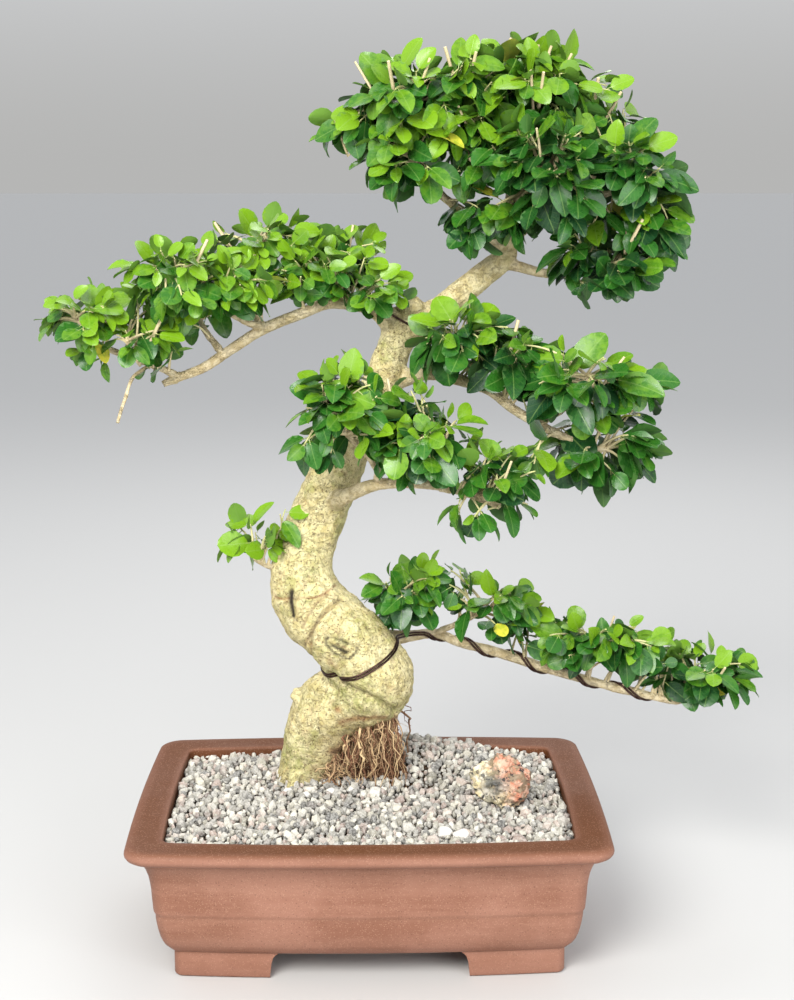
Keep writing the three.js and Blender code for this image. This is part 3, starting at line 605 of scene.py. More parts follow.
@dataclass(frozen=True)
class FiredClay:
    """Unglazed brown stoneware, darker and burnished on the rim, with the same dark colour as painted shade on the
    inner wall below the rim.
    """

    body: Colour = (0.200, 0.088, 0.055)
    pink: Colour = (0.262, 0.126, 0.086)
    rim_and_inner_shade: Colour = (0.112, 0.038, 0.013)
    dust: Colour = (0.42, 0.25, 0.17)
    roughness: float = 0.56

    def material(self, effects: Effects) -> bpy.types.Material:
        """Builds the finish."""
        p = Palette("fired_clay", effects)
        spread = p.clouds(14.0, 5.0, 0.38, 0.66)
        bands = p.clouds((4.0, 4.0, 60.0), 4.0, 0.42, 0.62)
        colour = p.mix(spread, self.body, self.pink)
        colour = p.tint(colour, bands, 0.35, (0.32, 0.165, 0.115))
        # the burnished rim's darker colour, also laid on the inner wall under the rim as painted shade
        rim_and_inner_shade = p.read("burnish")
        colour = p.mix(rim_and_inner_shade, colour, self.rim_and_inner_shade)
        fine = p.specks(900.0, 0.5)
        colour = p.tint(colour, fine, 0.35, self.dust)
        pits = p.specks(520.0, 0.34)
        colour = p.tint(colour, pits, 0.5, (0.10, 0.045, 0.03))
        wear = p.effect(effects.edge_wear, Low=0.503, High=0.53)
        colour = p.tint(colour, wear, 0.35, self.pink)
        rough = p.plus(p.times(spread, 0.12), p.plus(p.times(rim_and_inner_shade, 0.04), self.roughness - 0.04))
        coarse = p.height((60.0, 60.0, 260.0))
        sandy = p.height(1500.0)
        height = p.plus(p.times(coarse, 0.9), p.times(sandy, 0.35))
        return p.finish(colour, rough, p.bump(height, 0.45, 0.0006), Specular_IOR_Level=0.2)


@dataclass(frozen=True)
class Bark:
    """Pale yellow-tan bark with a green tint, brown streaks and dark specks, with painted shade in its creases and
    under its lower trunk.
    """

    tan: Colour = (0.53, 0.44, 0.19)
    cream: Colour = (0.76, 0.68, 0.38)
    green: Colour = (0.27, 0.29, 0.07)
    brown: Colour = (0.155, 0.088, 0.040)
    rust: Colour = (0.27, 0.105, 0.045)
    dark: Colour = (0.035, 0.026, 0.018)
    roughness: float = 0.74

    def material(self, effects: Effects) -> bpy.types.Material:
        """Builds the finish."""
        p = Palette("bark", effects)
        slim, stain, scar, rust, earth = map(p.read, ("slim", "stain", "scar", "rust", "earth"))
        broad = p.clouds(34.0, 6.0, 0.38, 0.62)
        crust = p.clouds(150.0, 8.0, 0.40, 0.60)
        colour = p.mix(p.times(p.plus(broad, crust), 0.5), self.tan, self.cream)
        moss = p.clouds(46.0, 7.0, 0.50, 0.66)
        colour = p.tint(colour, moss, 0.55, self.green)
        tint = p.times(stain, p.clouds(210.0, 5.0, 0.3, 0.6))
        colour = p.tint(colour, tint, 0.85, self.green)
        streaks = p.clouds((210.0, 210.0, 120.0), 8.0, 0.54, 0.70)
        colour = p.tint(colour, streaks, 0.42, self.brown)
        blush = p.clouds(88.0, 5.0, 0.56, 0.68)
        colour = p.tint(colour, blush, 0.25, (0.48, 0.25, 0.15))
        flakes = p.clouds(165.0, 9.0, 0.47, 0.58)
        colour = p.tint(colour, flakes, 0.20, (0.86, 0.79, 0.50))
        band = p.clouds((62.0, 62.0, 105.0), 8.0, 0.475, 0.525)
        wrinkles = p.minus(1.0, p.math("ABSOLUTE", p.minus(p.times(band, 2.0), 1.0)))
        colour = p.tint(colour, wrinkles, 0.12, self.brown)
        pores = p.clouds(520.0, 4.0, 0.57, 0.66)
        large = p.specks(110.0, 0.22)
        spots = p.math("MAXIMUM", p.times(pores, 0.7), p.times(large, 0.5))
        spots = p.times(spots, p.minus(1.0, p.times(slim, 0.75)))
        colour = p.mix(spots, colour, self.brown)
        pale = p.mix(crust, (0.50, 0.39, 0.225), (0.70, 0.59, 0.40))
        colour = p.tint(colour, slim, 0.8, pale)
        colour = p.tint(colour, rust, 0.8, self.rust)
        # dark scars, and painted shade in the grooves of creases and wrinkles
        colour = p.mix(scar, colour, self.dark)
        # darker bark near the gravel, and painted shade under the lower trunk
        colour = p.tint(colour, earth, 0.75, (0.15, 0.088, 0.048))
        rough = p.plus(self.roughness, p.times(broad, 0.1))
        ridges = p.height((420.0, 420.0, 170.0))
        pitted = p.height(1000.0)
        height = p.plus(ridges, p.times(pitted, 0.5))
        height = p.plus(height, p.times(flakes, 0.35))
        height = p.minus(height, p.plus(p.times(spots, 0.6), p.times(wrinkles, 0.45)))
        return p.finish(colour, rough, p.bump(height, 0.9, 0.0016), Specular_IOR_Level=0.3)


@dataclass(frozen=True)
class Foliage:
    """Leaf blade: glossy with pale veins on top, matt and paler underneath."""

    old: Colour = (0.008, 0.042, 0.012)
    mature: Colour = (0.022, 0.112, 0.010)
    fresh: Colour = (0.150, 0.300, 0.010)
    yellow: Colour = (0.55, 0.50, 0.05)
    vein: Colour = (0.24, 0.38, 0.10)
    under: Colour = (0.09, 0.20, 0.05)

    def material(self, effects: Effects) -> bpy.types.Material:
        """Builds the finish."""
        p = Palette("leaf", effects)
        tone = p.read("tone")
        spot = p.add("ShaderNodeUVMap", uv_map="blade").outputs[0]
        place = p.add("ShaderNodeSeparateXYZ", {0: spot})
        across, along = place.outputs[0], place.outputs[1]
        beneath = p.math("GREATER_THAN", across, 1.5)
        side = p.math("ABSOLUTE", p.minus(p.minus(across, p.times(beneath, 2.0)), 0.5))
        cloud = p.clouds(170.0, 3.0, 0.35, 0.65)
        shade = p.plus(tone, p.times(p.minus(cloud, 0.5), 0.14))
        colour = p.mix(p.ramp(shade, 0.0, 0.42), self.old, self.mature)
        colour = p.mix(p.ramp(shade, 0.42, 0.95), colour, self.fresh)
        colour = p.mix(p.ramp(shade, 1.15, 1.5), colour, self.yellow)
        rib = p.ramp(side, 0.03, 0.01)
        slant = p.math("FRACT", p.plus(p.times(along, 6.5), p.times(side, -4.0)))
        veins = p.times(p.ramp(p.math("ABSOLUTE", p.minus(slant, 0.5)), 0.07, 0.01), p.ramp(side, 0.47, 0.3))
        lines = p.math("MAXIMUM", p.times(rib, 0.3), p.times(veins, 0.12))
        colour = p.mix(lines, colour, self.vein)
        colour = p.tint(colour, p.ramp(side, 0.45, 0.5), 0.22, self.vein)
        pale = p.mix(0.45, colour, self.under)
        colour = p.mix(beneath, colour, pale)
        stem = p.math("LESS_THAN", along, -0.001)
        colour = p.mix(stem, colour, (0.30, 0.36, 0.11))
        rough = p.plus(0.25, p.plus(p.times(beneath, 0.35), p.times(cloud, 0.1)))
        height = p.plus(p.times(lines, -1.0), p.times(cloud, 0.25))
        return p.finish(colour, rough, p.bump(height, 0.35, 0.0004), Specular_IOR_Level=0.36)


@dataclass(frozen=True)
class Shoots:
    """Twigs: tan wood that turns green at its young end."""

    wood: Colour = (0.60, 0.49, 0.29)
    young: Colour = (0.42, 0.46, 0.16)

    def material(self, effects: Effects) -> bpy.types.Material:
        """Builds the finish."""
        p = Palette("twig", effects)
        youth = p.read("youth")
        cloud = p.clouds(260.0, 4.0, 0.4, 0.62)
        colour = p.mix(youth, self.wood, self.young)
        colour = p.tint(colour, cloud, 0.3, (0.72, 0.62, 0.40))
        return p.finish(colour, 0.62, p.grain(1100.0, 0.5, 0.0004))


@dataclass(frozen=True)
class Grit:
    """Loose stones, each of its own grey, with a few pinkish and dark ones."""

    name: str = "grit"
    dark: Colour = (0.12, 0.116, 0.108)
    grey: Colour = (0.335, 0.32, 0.285)
    pale: Colour = (0.60, 0.575, 0.50)
    pink: Colour = (0.42, 0.30, 0.25)

    def material(self, effects: Effects) -> bpy.types.Material:
        """Builds the finish."""
        p = Palette(self.name, effects)
        tone = p.read("tone")
        hue = p.read("hue")
        colour = p.mix(p.ramp(tone, 0.0, 0.45), self.dark, self.grey)
        colour = p.mix(p.ramp(tone, 0.45, 1.0), colour, self.pale)
        colour = p.tint(colour, p.ramp(hue, 0.72, 0.95), 0.6, self.pink)
        colour = p.tint(colour, p.ramp(hue, 0.3, 0.1), 0.35, (0.50, 0.46, 0.34))
        veins = p.clouds(700.0, 4.0, 0.42, 0.6)
        colour = p.tint(colour, veins, 0.28, (0.75, 0.73, 0.69))
        specks = p.specks(1500.0, 0.4)
        colour = p.tint(colour, specks, 0.4, (0.07, 0.065, 0.06))
        return p.finish(colour, 0.82, p.grain(1400.0, 0.6, 0.0004), Specular_IOR_Level=0.3)


@dataclass(frozen=True)
class WeatheredRock:
    """Cream, grey-olive and salmon stone with black pits, and a painted shade patch of a hollow on its front."""

    cream: Colour = (0.60, 0.49, 0.28)
    white: Colour = (0.68, 0.62, 0.50)
    olive: Colour = (0.16, 0.145, 0.085)
    salmon: Colour = (0.46, 0.17, 0.095)
    black: Colour = (0.018, 0.019, 0.024)

    def material(self, effects: Effects) -> bpy.types.Material:
        """Builds the finish."""
        p = Palette("weathered_rock", effects)
        reds = p.read("reds")
        hollow = p.read("hollow")
        cloud = p.clouds(130.0, 6.0, 0.4, 0.6)
        colour = p.mix(cloud, self.cream, self.white)
        pinks = p.mix(p.clouds(190.0, 6.0, 0.42, 0.6), self.salmon, (0.58, 0.36, 0.26))
        colour = p.mix(reds, colour, pinks)
        olives = p.clouds(120.0, 7.0, 0.47, 0.56)
        colour = p.tint(colour, olives, 0.75, self.olive)
        # painted shade of a hollow, on the front left of the stone
        colour = p.tint(colour, hollow, 0.85, (0.07, 0.078, 0.085))
        pits = p.times(p.specks(250.0, 0.5), p.clouds(90.0, 4.0, 0.46, 0.56))
        veins = p.clouds((150.0, 260.0, 200.0), 7.0, 0.585, 0.625)
        marks = p.math("MAXIMUM", p.times(pits, 0.8), p.times(veins, 0.95))
        colour = p.mix(marks, colour, self.black)
        height = p.minus(p.height(600.0), p.times(marks, 0.5))
        return p.finish(colour, 0.6, p.bump(height, 0.7, 0.001))


@dataclass(frozen=True)
class Earth:
    """Dark damp growing mix or matted fine roots."""

    name: str = "growing_mix"
    low: Colour = (0.030, 0.020, 0.013)
    high: Colour = (0.105, 0.068, 0.042)

    def material(self, effects: Effects) -> bpy.types.Material:
        """Builds the finish."""
        p = Palette(self.name, effects)
        crumbs = p.clouds(420.0, 6.0, 0.4, 0.62)
        colour = p.mix(crumbs, self.low, self.high)
        bits = p.specks(500.0, 0.4)
        colour = p.tint(colour, bits, 0.5, (0.24, 0.19, 0.13))
        return p.finish(colour, 0.95, p.grain(500.0, 1.0, 0.0015), Specular_IOR_Level=0.15)


@dataclass(frozen=True)
class FineRoots:
    """Thin fibrous roots, from straw to reddish brown."""

    def material(self, effects: Effects) -> bpy.types.Material:
        """Builds the finish."""
        p = Palette("fine_roots", effects)
        tone = p.read("youth")
        colour = p.mix(tone, (0.17, 0.070, 0.035), (0.66, 0.48, 0.26))
        return p.finish(colour, 0.85, p.grain(1500.0, 0.5, 0.0003))


@dataclass(frozen=True)
class TrainingWire:
    """Dark brown anodised wire, slightly scratched."""

    name: str = "training_wire"
    colour: Colour = (0.055, 0.028, 0.022)
    metallic: float = 0.85
    roughness: float = 0.3

    def material(self, effects: Effects) -> bpy.types.Material:
        """Builds the finish."""
        p = Palette(self.name, effects)
        worn = p.clouds(240.0, 5.0, 0.5, 0.66)
        colour = p.mix(p.times(worn, 0.5), self.colour, (0.20, 0.12, 0.09))
        rough = p.plus(self.roughness, p.times(worn, 0.2))
        return p.finish(colour, rough, p.grain(1600.0, 0.3, 0.0002), Metallic=self.metallic)


@dataclass(frozen=True)
class MeshPlastic:
    """Black moulded plastic of the drainage mesh."""

    def material(self, effects: Effects) -> bpy.types.Material:
        """Builds the finish."""
        p = Palette("mesh_plastic", effects)
        dirt = p.clouds(200.0, 4.0, 0.45, 0.7)
        colour = p.mix(p.times(dirt, 0.4), (0.012, 0.013, 0.012), (0.10, 0.07, 0.05))
        return p.finish(colour, 0.55, p.grain(900.0, 0.3, 0.0003))


# ---------------------------------------------------------------- geometry node tools


FULL_TURN = 6.283
GRIT_KINDS = 6  # patterns of loose stones
DENSEST = 400000.0  # most scattered points a square metre


class Tool(Enum):
    """The repeating shapes that node trees make."""

    LINES_TO_TUBES = "lines to tubes"
    SCATTER_ON_POINTS = "scatter on points"
    SCATTER_ON_FACES = "scatter on faces"


class Workshop:
    """Geometry node trees that make what repeats."""

    def __init__(self) -> None:
        """Builds each tree once."""
        self.trees = {
            Tool.LINES_TO_TUBES: self._lines_to_tubes(),
            Tool.SCATTER_ON_POINTS: self._scatter_on_points(),
            Tool.SCATTER_ON_FACES: self._scatter_on_faces(),
        }

    @staticmethod
    def _open(name: str, **inputs: tuple) -> tuple[Graph, dict, bpy.types.Node]:
        """Starts a tree that takes geometry, its own inputs and a material."""
        sockets = {"Geometry": (GEOMETRY, None), **inputs, "Material": ("NodeSocketMaterial", None)}
        return new_group(name, "GeometryNodeTree", sockets, {"Geometry": GEOMETRY})

    @staticmethod
    def _place(
        graph: Graph, given: dict, points: object, kind: object, turn: object, scale: object
    ) -> bpy.types.NodeSocket:
        """Puts one of the given shapes on each point."""
        wanted = {"Collection": given["Shapes"], "Separate Children": True, "Reset Children": True}
        values = {
            "Points": points,
            "Instance": graph.add("GeometryNodeCollectionInfo", wanted).outputs[0],
            "Pick Instance": True,
            "Instance Index": kind,
            "Rotation": graph.add("FunctionNodeEulerToRotation", {0: turn}).outputs[0],
            "Scale": scale,
        }
        return graph.add("GeometryNodeInstanceOnPoints", values).outputs[0]

    @staticmethod
    def _close(graph: Graph, leave: bpy.types.Node, given: dict, made: bpy.types.NodeSocket) -> bpy.types.NodeTree:
        """Ends a tree in Realize Instances and Set Material."""
        real = graph.add("GeometryNodeRealizeInstances", {"Geometry": made})
        dressed = graph.add("GeometryNodeSetMaterial", {"Geometry": real.outputs[0], "Material": given["Material"]})
        graph.tree.links.new(dressed.outputs[0], leave.inputs["Geometry"])
        return graph.tree

    def _lines_to_tubes(self) -> bpy.types.NodeTree:
        """Round tubes along loose edges, with each point's own radius."""
        graph, given, leave = self._open("Lines To Tubes", Sides=(INTEGER, 6))
        curve = graph.add("GeometryNodeMeshToCurve", {"Mesh": given["Geometry"]})
        thick = graph.add("GeometryNodeInputNamedAttribute", {"Name": "thick"}, data_type="FLOAT")
        ring = graph.add("GeometryNodeCurvePrimitiveCircle", {"Resolution": given["Sides"], "Radius": 1.0})
        sweep_inputs = {
            "Curve": curve.outputs[0],
            "Profile Curve": graph.out(ring, "Curve"),
            "Scale": graph.out(thick, "Attribute"),
            "Fill Caps": True,
        }
        tube = graph.add("GeometryNodeCurveToMesh", sweep_inputs)
        return self._close(graph, leave, given, tube.outputs[0])

    def _scatter_on_points(self) -> bpy.types.NodeTree:
        """Shapes of a collection on points that carry their own turn, size and kind."""
        graph, given, leave = self._open("Scatter On Points", Shapes=("NodeSocketCollection", None))
        read = {
            name: graph.out(graph.add("GeometryNodeInputNamedAttribute", {"Name": name}, data_type=kind), "Attribute")
            for name, kind in (("turn", "FLOAT_VECTOR"), ("size", "FLOAT"), ("kind", "INT"))
        }
        placed = self._place(graph, given, given["Geometry"], read["kind"], read["turn"], read["size"])
        return self._close(graph, leave, given, placed)

    def _scatter_on_faces(self) -> bpy.types.NodeTree:
        """Shapes of a collection spread evenly over a surface, each with its own turn, size, tone and hue."""
        graph, given, leave = self._open(
            "Scatter On Faces",
            Shapes=("NodeSocketCollection", None),
            Gap=(FLOAT, 0.004),
            Smallest=(FLOAT, 0.7),
            Largest=(FLOAT, 1.3),
            Lift=(FLOAT, 0.001),
            Seed=(INTEGER, 1),
        )
        spread = graph.add(
            "GeometryNodeDistributePointsOnFaces",
            {"Mesh": given["Geometry"], "Distance Min": given["Gap"], "Density Max": DENSEST, "Seed": given["Seed"]},
            distribute_method="POISSON",
        )

        def chance(kind: str, low: object, high: object, seed: int) -> bpy.types.NodeSocket:
            """A random value for each point."""
            values = {"Min": low, "Max": high, "Seed": graph.plus(given["Seed"], float(seed))}
            return graph.out(graph.add("FunctionNodeRandomValue", values, data_type=kind), "Value")

        height = graph.add("ShaderNodeCombineXYZ", {2: chance("FLOAT", 0.0, given["Lift"], 1)})
        moved = {"Geometry": spread.outputs["Points"], "Offset": height.outputs[0]}
        raised = graph.add("GeometryNodeSetPosition", moved)
        last = raised.outputs[0]
        for seed, name in ((2, "tone"), (3, "hue")):
            stored = graph.add(
                "GeometryNodeStoreNamedAttribute",
                {"Geometry": last, "Name": name, "Value": chance("FLOAT", 0.0, 1.0, seed)},
                data_type="FLOAT",
                domain="POINT",
            )
            last = stored.outputs[0]
        turn = chance("FLOAT_VECTOR", (0.0,) * 3, (FULL_TURN,) * 3, 4)
        kind = chance("INT", 0, GRIT_KINDS - 1, 5)
        placed = self._place(graph, given, last, kind, turn, chance("FLOAT", given["Smallest"], given["Largest"], 6))
        return self._close(graph, leave, given, placed)

    def run(self, tool: Tool, piece: bpy.types.Object, **values: object) -> bpy.types.Object:
        """Runs a tree on an object and leaves a plain mesh.

        Args:
            tool: which tree to run.
            piece: the object that carries the points, edges or faces.
            **values: the tree's inputs by name.

        Returns:
            The same object with its final mesh.
        """
        tree = self.trees[tool]
        modifier = piece.modifiers.new(tool.value, "NODES")
        modifier.node_group = tree
        for item in tree.interface.items_tree:
            if item.in_out == "INPUT" and item.name in values:
                modifier[item.identifier] = values[item.name]
        return plain_mesh(piece)


def hidden_shapes(name: str, shapes: list[bpy.types.Object]) -> bpy.types.Collection:
    """Moves pattern objects into a collection of their own that isn't shown."""
    collection = bpy.data.collections.new(name)
    for shape in shapes:
        bpy.context.scene.collection.objects.unlink(shape)
        collection.objects.link(shape)
    return collection


def put_away(collection: bpy.types.Collection) -> None:
    """Deletes a collection of pattern objects."""
    for shape in list(collection.objects):
        bpy.data.objects.remove(shape, do_unlink=True)
    bpy.data.collections.remove(collection)


def lines_object(name: str, lines: list[Points], youth: list[Points] | None = None) -> bpy.types.Object:
    """Loose edges with a radius at each point, for tubes.

    Args:
        name: the object's name.
        lines: rows of x, y, z, radius for each line.
        youth: a value from 0 to 1 at each point of each line.

    Returns:
        The object.
    """
    points = np.vstack(lines)
    edges, start = [], 0
    for line in lines:
        edges += [(start + i, start + i + 1) for i in range(len(line) - 1)]
        start += len(line)
    piece = mesh_object(name, points[:, :3], [], edges)
    store(piece, thick=points[:, 3] * MM, youth=np.concatenate(youth) if youth else np.zeros(len(points)))
    return piece


# ---------------------------------------------------------------- the pot


@dataclass
class Pot:
    """Rectangular clay pot with bowed sides, a wide flat rim and four corner feet."""

    length: float = 372
    depth: float = 280
    height: float = 112
    corner: float = 17
    long_bow: float = 7
    short_bow: float = 3
    rim_width: float = 27
    floor_top: float = 30
    foot_height: float = 20
    foot_inset: float = 33
    foot_wall: float = 18
    gap_long: float = 149
    gap_short: float = 112
    drain_spacing: float = 170
    drain_radius: float = 12
    burnished_from: float = 107.5
    inner_wall_shade_from: float = 90
    inner_shade_inset: float = 24

    def outline(self, inset: float, z: float, corner: float | None = None) -> Points:
        """Points round the pot at one height.

        Args:
            inset: distance inside the lip's outer edge.
            z: height.
            corner: corner radius, or None for the pot's own.

        Returns:
            Corners of the outline, in order.
        """
        half = np.array([self.length / 2 - inset - self.short_bow, self.depth / 2 - inset - self.long_bow])
        radius = max((corner or self.corner) - inset * 0.35, 6)
        flat = []
        signs = [(1, 1), (-1, 1), (-1, -1), (1, -1)]
        for quarter, (sx, sy) in enumerate(signs):
            turn = (quarter + np.arange(13) / 12) * math.pi / 2
            arc = np.array([sx, sy]) * (half - radius) + radius * np.stack([np.cos(turn), np.sin(turn)], 1)
            flat.append(arc)
            nx, ny = signs[(quarter + 1) % 4]
            goal = arc[-1].copy()
            axis = quarter % 2
            goal[axis] = (nx, ny)[axis] * (half[axis] - radius)
            flat.append(arc[-1] + (goal - arc[-1]) * (np.arange(1, 20) / 20)[:, None])
        flat = np.vstack(flat)
        share = flat / half
        bow = np.array([self.short_bow, self.long_bow]) * (1 - share[:, ::-1] ** 2) * share
        return np.column_stack([flat + bow, np.full(len(flat), z)])

    def loft(self, rings: list[Points]) -> tuple[Points, list]:
        """Closed surface through outlines with as many points each."""
        count = len(rings[0])
        corners = np.vstack(rings)
        index = np.arange(len(rings) * count).reshape(len(rings), count)
        beside = np.roll(index, -1, axis=1)
        faces = np.stack([index[:-1], beside[:-1], beside[1:], index[1:]], -1).reshape(-1, 4).tolist()
        return corners, [*faces, index[0, ::-1].tolist(), index[-1].tolist()]

    def body(self) -> bpy.types.Object:
        """The wall, rim and floor in one closed shell, with its drain holes."""
        under = self.height - 11
        outside = [
            (52, self.foot_height), (38, self.foot_height), (self.foot_inset + 1.5, self.foot_height + 0.4),
            (self.foot_inset - 1.5, self.foot_height + 1.6), (30, 23.4), (27.2, 26.5), (25.2, 30), (23.4, 35),
                (22.2, 40), (21.3, 45),
            (20.7, 49.5), (20.5, 53.0), (20.1, 54.6), (19.4, 55.8), (19.1, 57.4), (18.8, 62), (18.3, 68), (18.0, 74),
                (17.3, 80), (16.2, 86),
            (14.6, 91), (12.9, 95), (11.8, 97.6), (11.2, 99.6), (10.2, under), (6.5, under + 0.1), (3.6, under + 0.8),
            (1.5, under + 2.4), (0.3, under + 4.4), (0, under + 6), (0.2, under + 7.6), (0.9, under + 9.2),
                (2.2, 111.4),
            (4.2, 112), (9, 111.9), (15, 111.7), (21, 111.8), (25.2, 111.8), (26.3, 111.5), (26.9, 110.8),
                (27.0, 109.5),
        ]
        inside = [
            (27, 100), (27, 80), (27.4, 60), (28, 46), (29.5, 38), (32, 33.5), (36, 31),
            (42, self.floor_top), (60, self.floor_top),
        ]
        rings = [self.outline(inset, z) for inset, z in outside] + [self.outline(inset, z, 18) for inset, z in inside]
        piece = mesh_object("pot_clay", *self.loft(rings))
        for side in (-1, 1):
            cut_away(piece, self.drill(side * self.drain_spacing / 2))
        return piece

    def drill(self, x: float) -> bpy.types.Object:
        """Round cutter of one drain hole."""
        turn = np.arange(48) * 2 * math.pi / 48
        ring = np.stack([x + self.drain_radius * np.cos(turn), self.drain_radius * np.sin(turn)], 1)
        rings = [np.column_stack([ring, np.full(48, z)]) for z in (self.foot_height - 5.0, self.floor_top + 5.0)]
        return mesh_object("drill", *self.loft(rings))

    def feet(self) -> bpy.types.Object:
        """Four L-shaped corner feet with sloping ends."""
        outer = [(2.4, 0), (0.8, 0.7), (0, 2.2), (0, self.foot_height + 1.5)]
        piece = mesh_object("feet", *self.loft([self.outline(self.foot_inset + i, z) for i, z in outer]))
        inner = [self.outline(self.foot_inset + self.foot_wall, z) for z in (-2, 30)]
        hollow = mesh_object("hollow", *self.loft(inner))
        cut_away(piece, hollow, self.gap_cutter(self.gap_long, 0), self.gap_cutter(self.gap_short, 1))
        bevel = piece.modifiers.new("soft edges", "BEVEL")
        bevel.width, bevel.segments, bevel.limit_method, bevel.angle_limit = 1.3 * MM, 2, "ANGLE", math.radians(50)
        return plain_mesh(piece)

    def gap_cutter(self, width: float, axis: int) -> bpy.types.Object:
        """Cutter of the space between two feet, along X for axis 0 and along Y for axis 1."""
        half = width / 2
        slope = [(2.4, -2), (0.9, 12), (-0.6, 17), (-2.6, 19.4), (-4, 19.9), (-4, 26)]
        shape = [(half + u, z) for u, z in slope] + [(-half - u, z) for u, z in reversed(slope)]
        reach = 200
        rings = []
        for v in (-reach, reach):
            rings.append(np.array([(u, v, z) if axis == 0 else (-v, u, z) for u, z in shape], float))
        piece = mesh_object("gap", *self.loft(rings))
        self.face_out(piece)
        return piece

    @staticmethod
    def face_out(piece: bpy.types.Object, *others: bpy.types.Object) -> None:
        """Joins other meshes to a piece and turns every face outwards."""
        made = bmesh.new()
        for source in (piece, *others):
            made.from_mesh(source.data)
        bmesh.ops.recalc_face_normals(made, faces=made.faces)
        made.to_mesh(piece.data)
        made.free()

    def build(self, clay: bpy.types.Material) -> bpy.types.Object:
        """Makes, joins and dresses the pot."""
        body, feet = self.body(), self.feet()
        self.face_out(body, feet)
        remove(feet)
        mesh = body.data
        mesh.shade_smooth()
        mesh.set_sharp_from_angle(angle=math.radians(42))
        at = np.array([v.co for v in mesh.vertices])
        local = (at - POT_MIDDLE) / MM
        burnish = np.clip((local[:, 2] - self.burnished_from) / 4.0, 0, 1)
        half = np.array([self.length, self.depth]) / 2
        # the rim's top is burnished; the inner wall below the rim gets the same dark colour as painted shade
        inner = np.clip((half - self.inner_shade_inset - np.abs(local[:, :2])) / 2, 0, 1).prod(axis=1)
        store(body, burnish=np.maximum(burnish, np.where(local[:, 2] > self.inner_wall_shade_from, inner, 0)))
        dress(body, clay)
        return finish_piece(body, "clay", "pot")


# ---------------------------------------------------------------- gravel and stones


@dataclass
class GravelBed:
    """Loose grit over the growing mix, mounded behind the trunk."""

    pot: Pot
    mound: float = 19
    mound_middle: tuple[float, float] = (30, 88)
    mound_spread: tuple[float, float] = (74, 55)
    gap: float = 4.8
    seed: int = 11

    def top(self, x: Points, y: Points) -> Points:
        """Height of the grit's surface."""
        u = (x - self.mound_middle[0]) / self.mound_spread[0]
        v = (y - self.mound_middle[1]) / self.mound_spread[1]
        return GRAVEL_LEVEL + self.mound * np.exp(-u * u - v * v)

    def inside(self, x: Points, y: Points, margin: float) -> Points:
        """True where a place is inside the pot's opening by margin."""
        half_x = self.pot.length / 2 - self.pot.rim_width - self.pot.short_bow - margin
        half_y = self.pot.depth / 2 - self.pot.rim_width - self.pot.long_bow - margin
        wide = half_x + self.pot.short_bow * (1 - (y / half_y) ** 2)
        deep = half_y + self.pot.long_bow * (1 - (x / half_x) ** 2)
        radius = 10
        past = np.hypot(np.maximum(np.abs(x) - (wide - radius), 0), np.maximum(np.abs(y) - (deep - radius), 0))
        return past < radius

    def surface(self, drop: float, margin: float, step: float) -> bpy.types.Object:
        """Open sheet of the grit's surface, to scatter stones on."""
        xs, ys = np.arange(-160, 160 + step, step), np.arange(-120, 120 + step, step)
        gx, gy = np.meshgrid(xs, ys)
        x, y = gx.ravel(), gy.ravel()
        z = self.top(x, y) - drop + 1.1 * relief(np.column_stack([x, y, 0 * x]), 26.0, 2)
        index = np.arange(len(x)).reshape(gx.shape)
        faces = np.stack([index[:-1, :-1], index[:-1, 1:], index[1:, 1:], index[1:, :-1]], -1).reshape(-1, 4)
        keep = self.inside(x[faces].mean(1), y[faces].mean(1), margin)
        used, numbers = np.unique(faces[keep], return_inverse=True)
        points = np.column_stack([x, y, z])[used]
        return mesh_object("gravel_surface", points, numbers.reshape(-1, 4).tolist())

    def base(self, earth: bpy.types.Material) -> bpy.types.Object:
        """Closed dark layer that shows between the stones."""
        piece = self.surface(2.2, 0.6, 4.0)
        thick = piece.modifiers.new("thickness", "SOLIDIFY")
        thick.thickness, thick.offset = 7 * MM, -1
        plain_mesh(piece)
        piece.name = "gravel_base"
        dress(piece, earth)
        return finish_piece(piece, "gravel", "gravel_top_dressing")

    def shapes(self, size: float) -> bpy.types.Collection:
        """Angular pebbles of few faces."""
        rng = np.random.default_rng(5)
        made = []
        for k in range(GRIT_KINDS):
            points, faces = ball(1)
            cuts = unit(rng.normal(size=(5, 3)))
            squash = np.array([1.0, rng.uniform(0.72, 0.95), rng.uniform(0.55, 0.8)])
            for cut in cuts:
                points = chop(points, cut, 0.62)
            points = points * squash * size / 2 * MM * rng.uniform(0.94, 1.06, (len(points), 1))
            mesh = bpy.data.meshes.new(f"grit_{k}")
            mesh.from_pydata(points.tolist(), [], faces)
            mesh.shade_flat()
            made.append(new_object(f"grit_{k}", mesh))
        return hidden_shapes("grit_shapes", made)

    def build(self, workshop: Workshop, grit: bpy.types.Material, earth: bpy.types.Material) -> None:
        """Scatters the grit in layers and lays the dark base under it."""
        shapes = self.shapes(8.0)
        layers = (
            ("grit_lower", 1.4, 2.2, self.gap + 0.5, 0.6, 1.0, 1.6),
            ("grit_upper", -0.8, 2.6, self.gap, 0.5, 1.2, 2.4),
            ("grit_coarse", -1.2, 4.5, 15.0, 1.25, 1.8, 1.4),
        )
        for number, (name, drop, margin, gap, small, large, lift) in enumerate(layers):
            piece = self.surface(drop, margin, 4.0)
            values = {"Gap": gap * MM, "Smallest": small, "Largest": large, "Lift": lift * MM}
            seed = self.seed + number
            workshop.run(Tool.SCATTER_ON_FACES, piece, Shapes=shapes, Material=grit, Seed=seed, **values)
            piece.name = name
            finish_piece(piece, "gravel")
        put_away(shapes)
        self.base(earth)


class StoneForm(Enum):
    """How rough a stone is."""

    TUMBLED = "tumbled"
    CRAGGY = "craggy"


